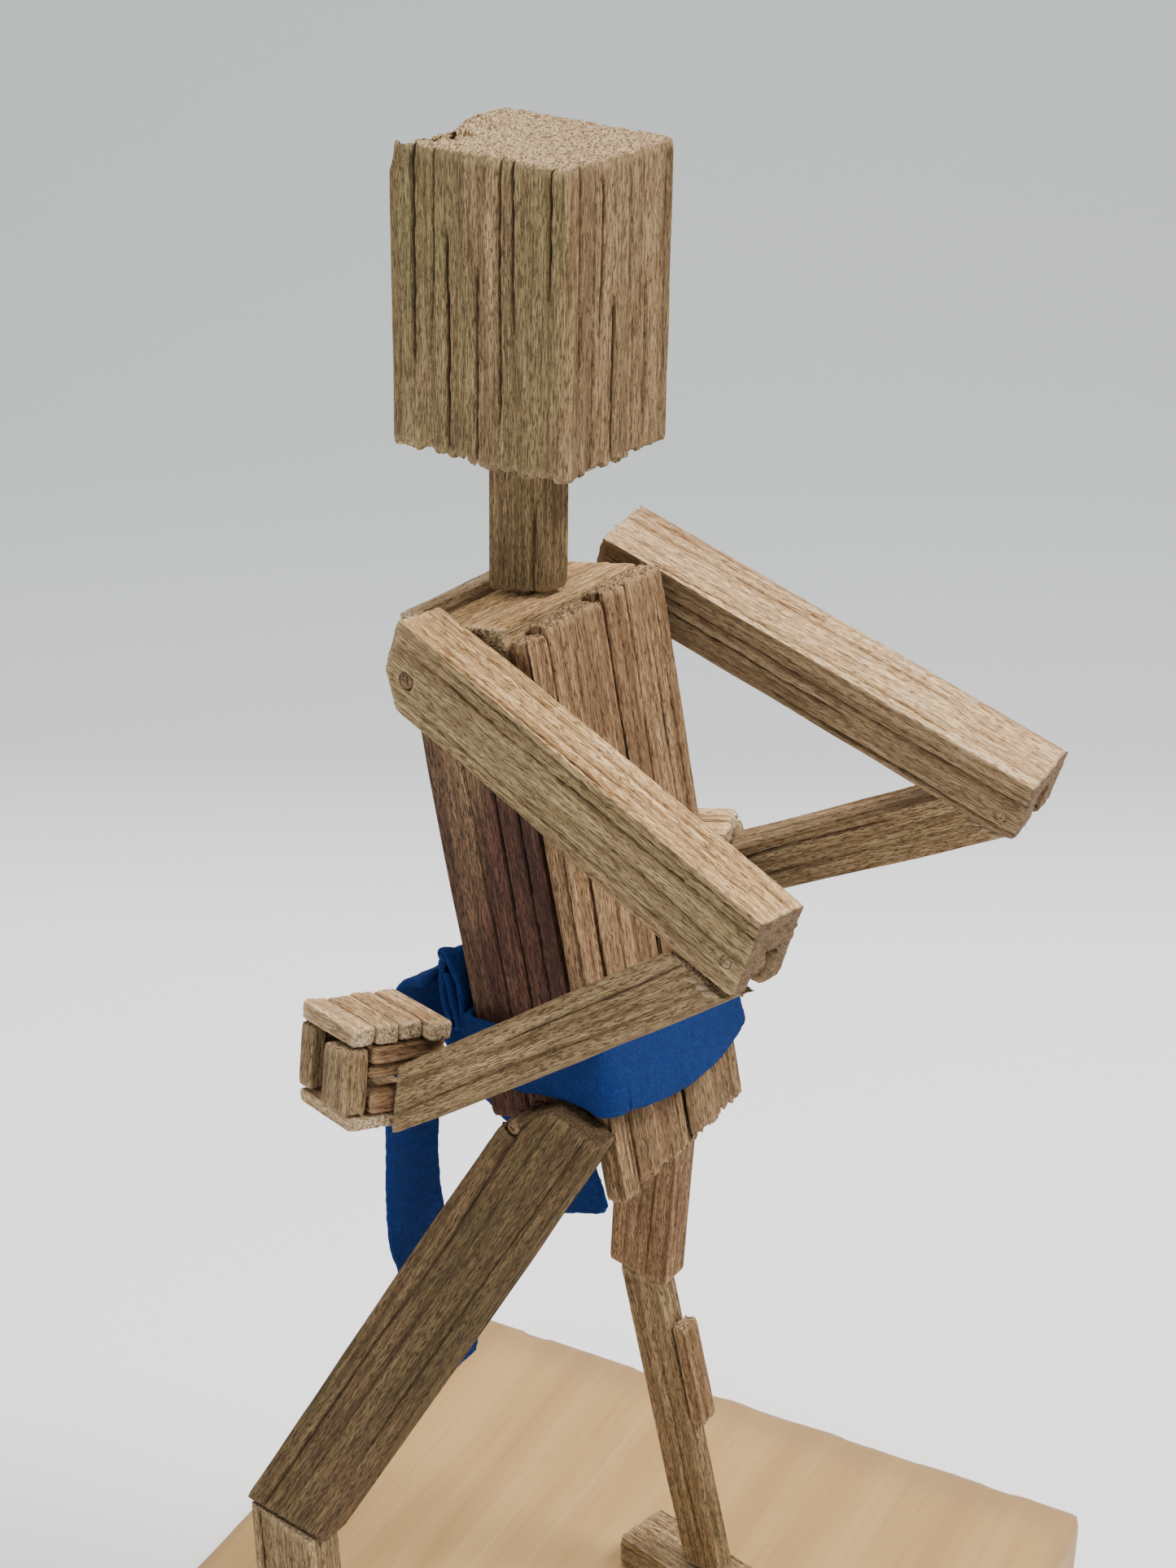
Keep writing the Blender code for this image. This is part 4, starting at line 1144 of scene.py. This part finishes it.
def make_knot(axes):
    """The knot: the strip folded up over itself in a loop in front of the chest block."""
    low, high = extent("belt_knot", axes)
    tall = high[2] - low[2]
    deep = high[1] - low[1]
    middle_x = (low[0] + high[0]) / 2 - KNOT_SHIFT
    points = [(middle_x + KNOT_STAGGER * (i % 3 - 1), low[1] + deep * y, low[2] + tall * z)
              for i, (y, z) in enumerate(KNOT_PROFILE)]
    centres = curve_through(points, KNOT_ROWS)
    acrosses = np.tile((1.0, -0.12, 0.06), (len(centres), 1))
    folds = KNOT_FOLD * np.sin(np.linspace(0, 3 * pi, len(centres))) ** 2
    widths = np.full(len(centres), FELT_WIDTH - KNOT_NARROWER) - folds
    made, length = cloth_strip("belt_knot_felt", centres @ axes, acrosses @ axes, widths, 57)
    declare_felt(made, "belt_knot")


TAIL_SAMPLES = 400
# Each tail's middle line in the figure's own frame, and the strip's turn at each point, in degrees
LEFT_TAIL = (
    (0.6, -15.6, -94.2),
    (1.0, -17.4, -95.4),
    (1.5, -18.3, -98.6),
    (2.9, -17.7, -105.0),
    (4.2, -17.1, -112.0),
    (4.5, -16.5, -126.0),
    (1.0, -16.0, -140.0),
    (-2.0, -15.6, -151.0),
)
LEFT_TAIL_TURNS = (4.0, 8.0, 10.0, 12.0, 9.0, 12.0, 7.0, 6.0)
RIGHT_TAIL = (
    (-3.0, -16.2, -95.0),
    (-4.0, -18.2, -97.6),
    (-7.3, -16.6, -106.4),
    (-10.0, -11.9, -114.4),
    (-11.5, -6.9, -121.6),
    (-12.0, -4.0, -129.0),
)
RIGHT_TAIL_TURNS = (12.0, 20.0, 40.0, 65.0, 84.0, 88.0)


def make_tail(word, middles, turns, seed):
    """A free end of the strip, which falls from the knot and twists as it hangs."""
    rough = curve_through(middles, TAIL_SAMPLES)
    steps = np.concatenate([[0], np.cumsum(np.linalg.norm(np.diff(rough, axis=0), axis=1))])
    count = int(steps[-1] / FELT_STEP)
    even = np.linspace(0, steps[-1], count)
    path = np.stack([np.interp(even, steps, rough[:, k]) for k in range(3)], axis=1)
    turn = np.interp(even, steps, curve_through([[t] for t in turns], TAIL_SAMPLES)[:, 0])
    angle = np.radians(-turn)
    acrosses = np.stack([np.cos(angle), np.sin(angle), np.zeros(count)], axis=1)
    centres = np.array([figure_point(point) for point in path])
    acrosses = np.array([rotated_z(way, FIGURE_TURN) for way in acrosses])
    widths = FELT_WIDTH + 0.25 * np.sin(even * 0.35 + seed)
    end = smooth_step(0.0, 0.8, steps[-1] - even)
    widths = widths * (0.86 + 0.14 * end)
    made, length = cloth_strip("belt_tail_%s_felt" % word, centres, acrosses, widths, seed)
    declare_felt(made, "belt_tail_" + word)


torso = torso_axes()
make_band(torso)
make_knot(torso)
make_tail("left", LEFT_TAIL, LEFT_TAIL_TURNS, 71)
make_tail("right", RIGHT_TAIL, RIGHT_TAIL_TURNS, 83)

# ---- glue

GLUE_SEED = 200
GLUE_OUT = 2.75
# Each bead's place along the forearm and across it, its length along Y and its thickness
GLUE_BEADS = ((4.9, 0.2, 0.9, 0.3), (4.1, 1.3, 0.7, 0.26), (3.4, 2.3, 0.9, 0.32))


def glue_bead(name, body, place, size, seed):
    """A small uneven drop with its middle at a place."""
    grid = bpy.data.meshes.new(name)
    shape = bmesh.new()
    bmesh.ops.create_icosphere(shape, subdivisions=4, radius=1.0)
    shape.to_mesh(grid)
    shape.free()
    points = mesh_arrays(grid)
    bumps = 1.0 + 0.22 * noise(points, (1.3, 1.3, 1.3), seed) + 0.1 * noise(points, (3.1, 3.1, 3.1), seed + 1)
    points = points * bumps[:, None] * np.array(size) + place
    grid.vertices.foreach_set("co", (points * MM).ravel())
    grid.update()
    grid.shade_smooth()
    grid.materials.append(GLUE)
    made = link(name, grid)
    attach(made, body)


joints = {joint["name"]: joint for joint in frame["joints"]}


def elbow_frame(word):
    """The elbow's middle, its axis, and the way towards the wrist, square to that axis."""
    elbow = joints[word + "_elbow_bend"]
    wrist = joints[word + "_wrist_twist"]
    place = np.array(elbow["pos_m"]) / MM
    pin = np.array(elbow["axis"])
    along = np.array(wrist["pos_m"]) / MM - place
    along = along - (along @ pin) * pin
    return place, pin, along / np.linalg.norm(along)


def make_glue():
    """Beads of squeezed-out glue beside each elbow, on the forearm."""
    for word in ("left", "right"):
        place, pin, along = elbow_frame(word)
        across = np.cross(pin, along)
        for index, (reach, aside, long_way, size) in enumerate(GLUE_BEADS):
            spot = place + pin * GLUE_OUT + along * reach + across * aside
            glue_bead("%s_glue_bead_%d" % (word, index + 1), word + "_forearm", spot,
                      (size, long_way, size), GLUE_SEED + index)


make_glue()
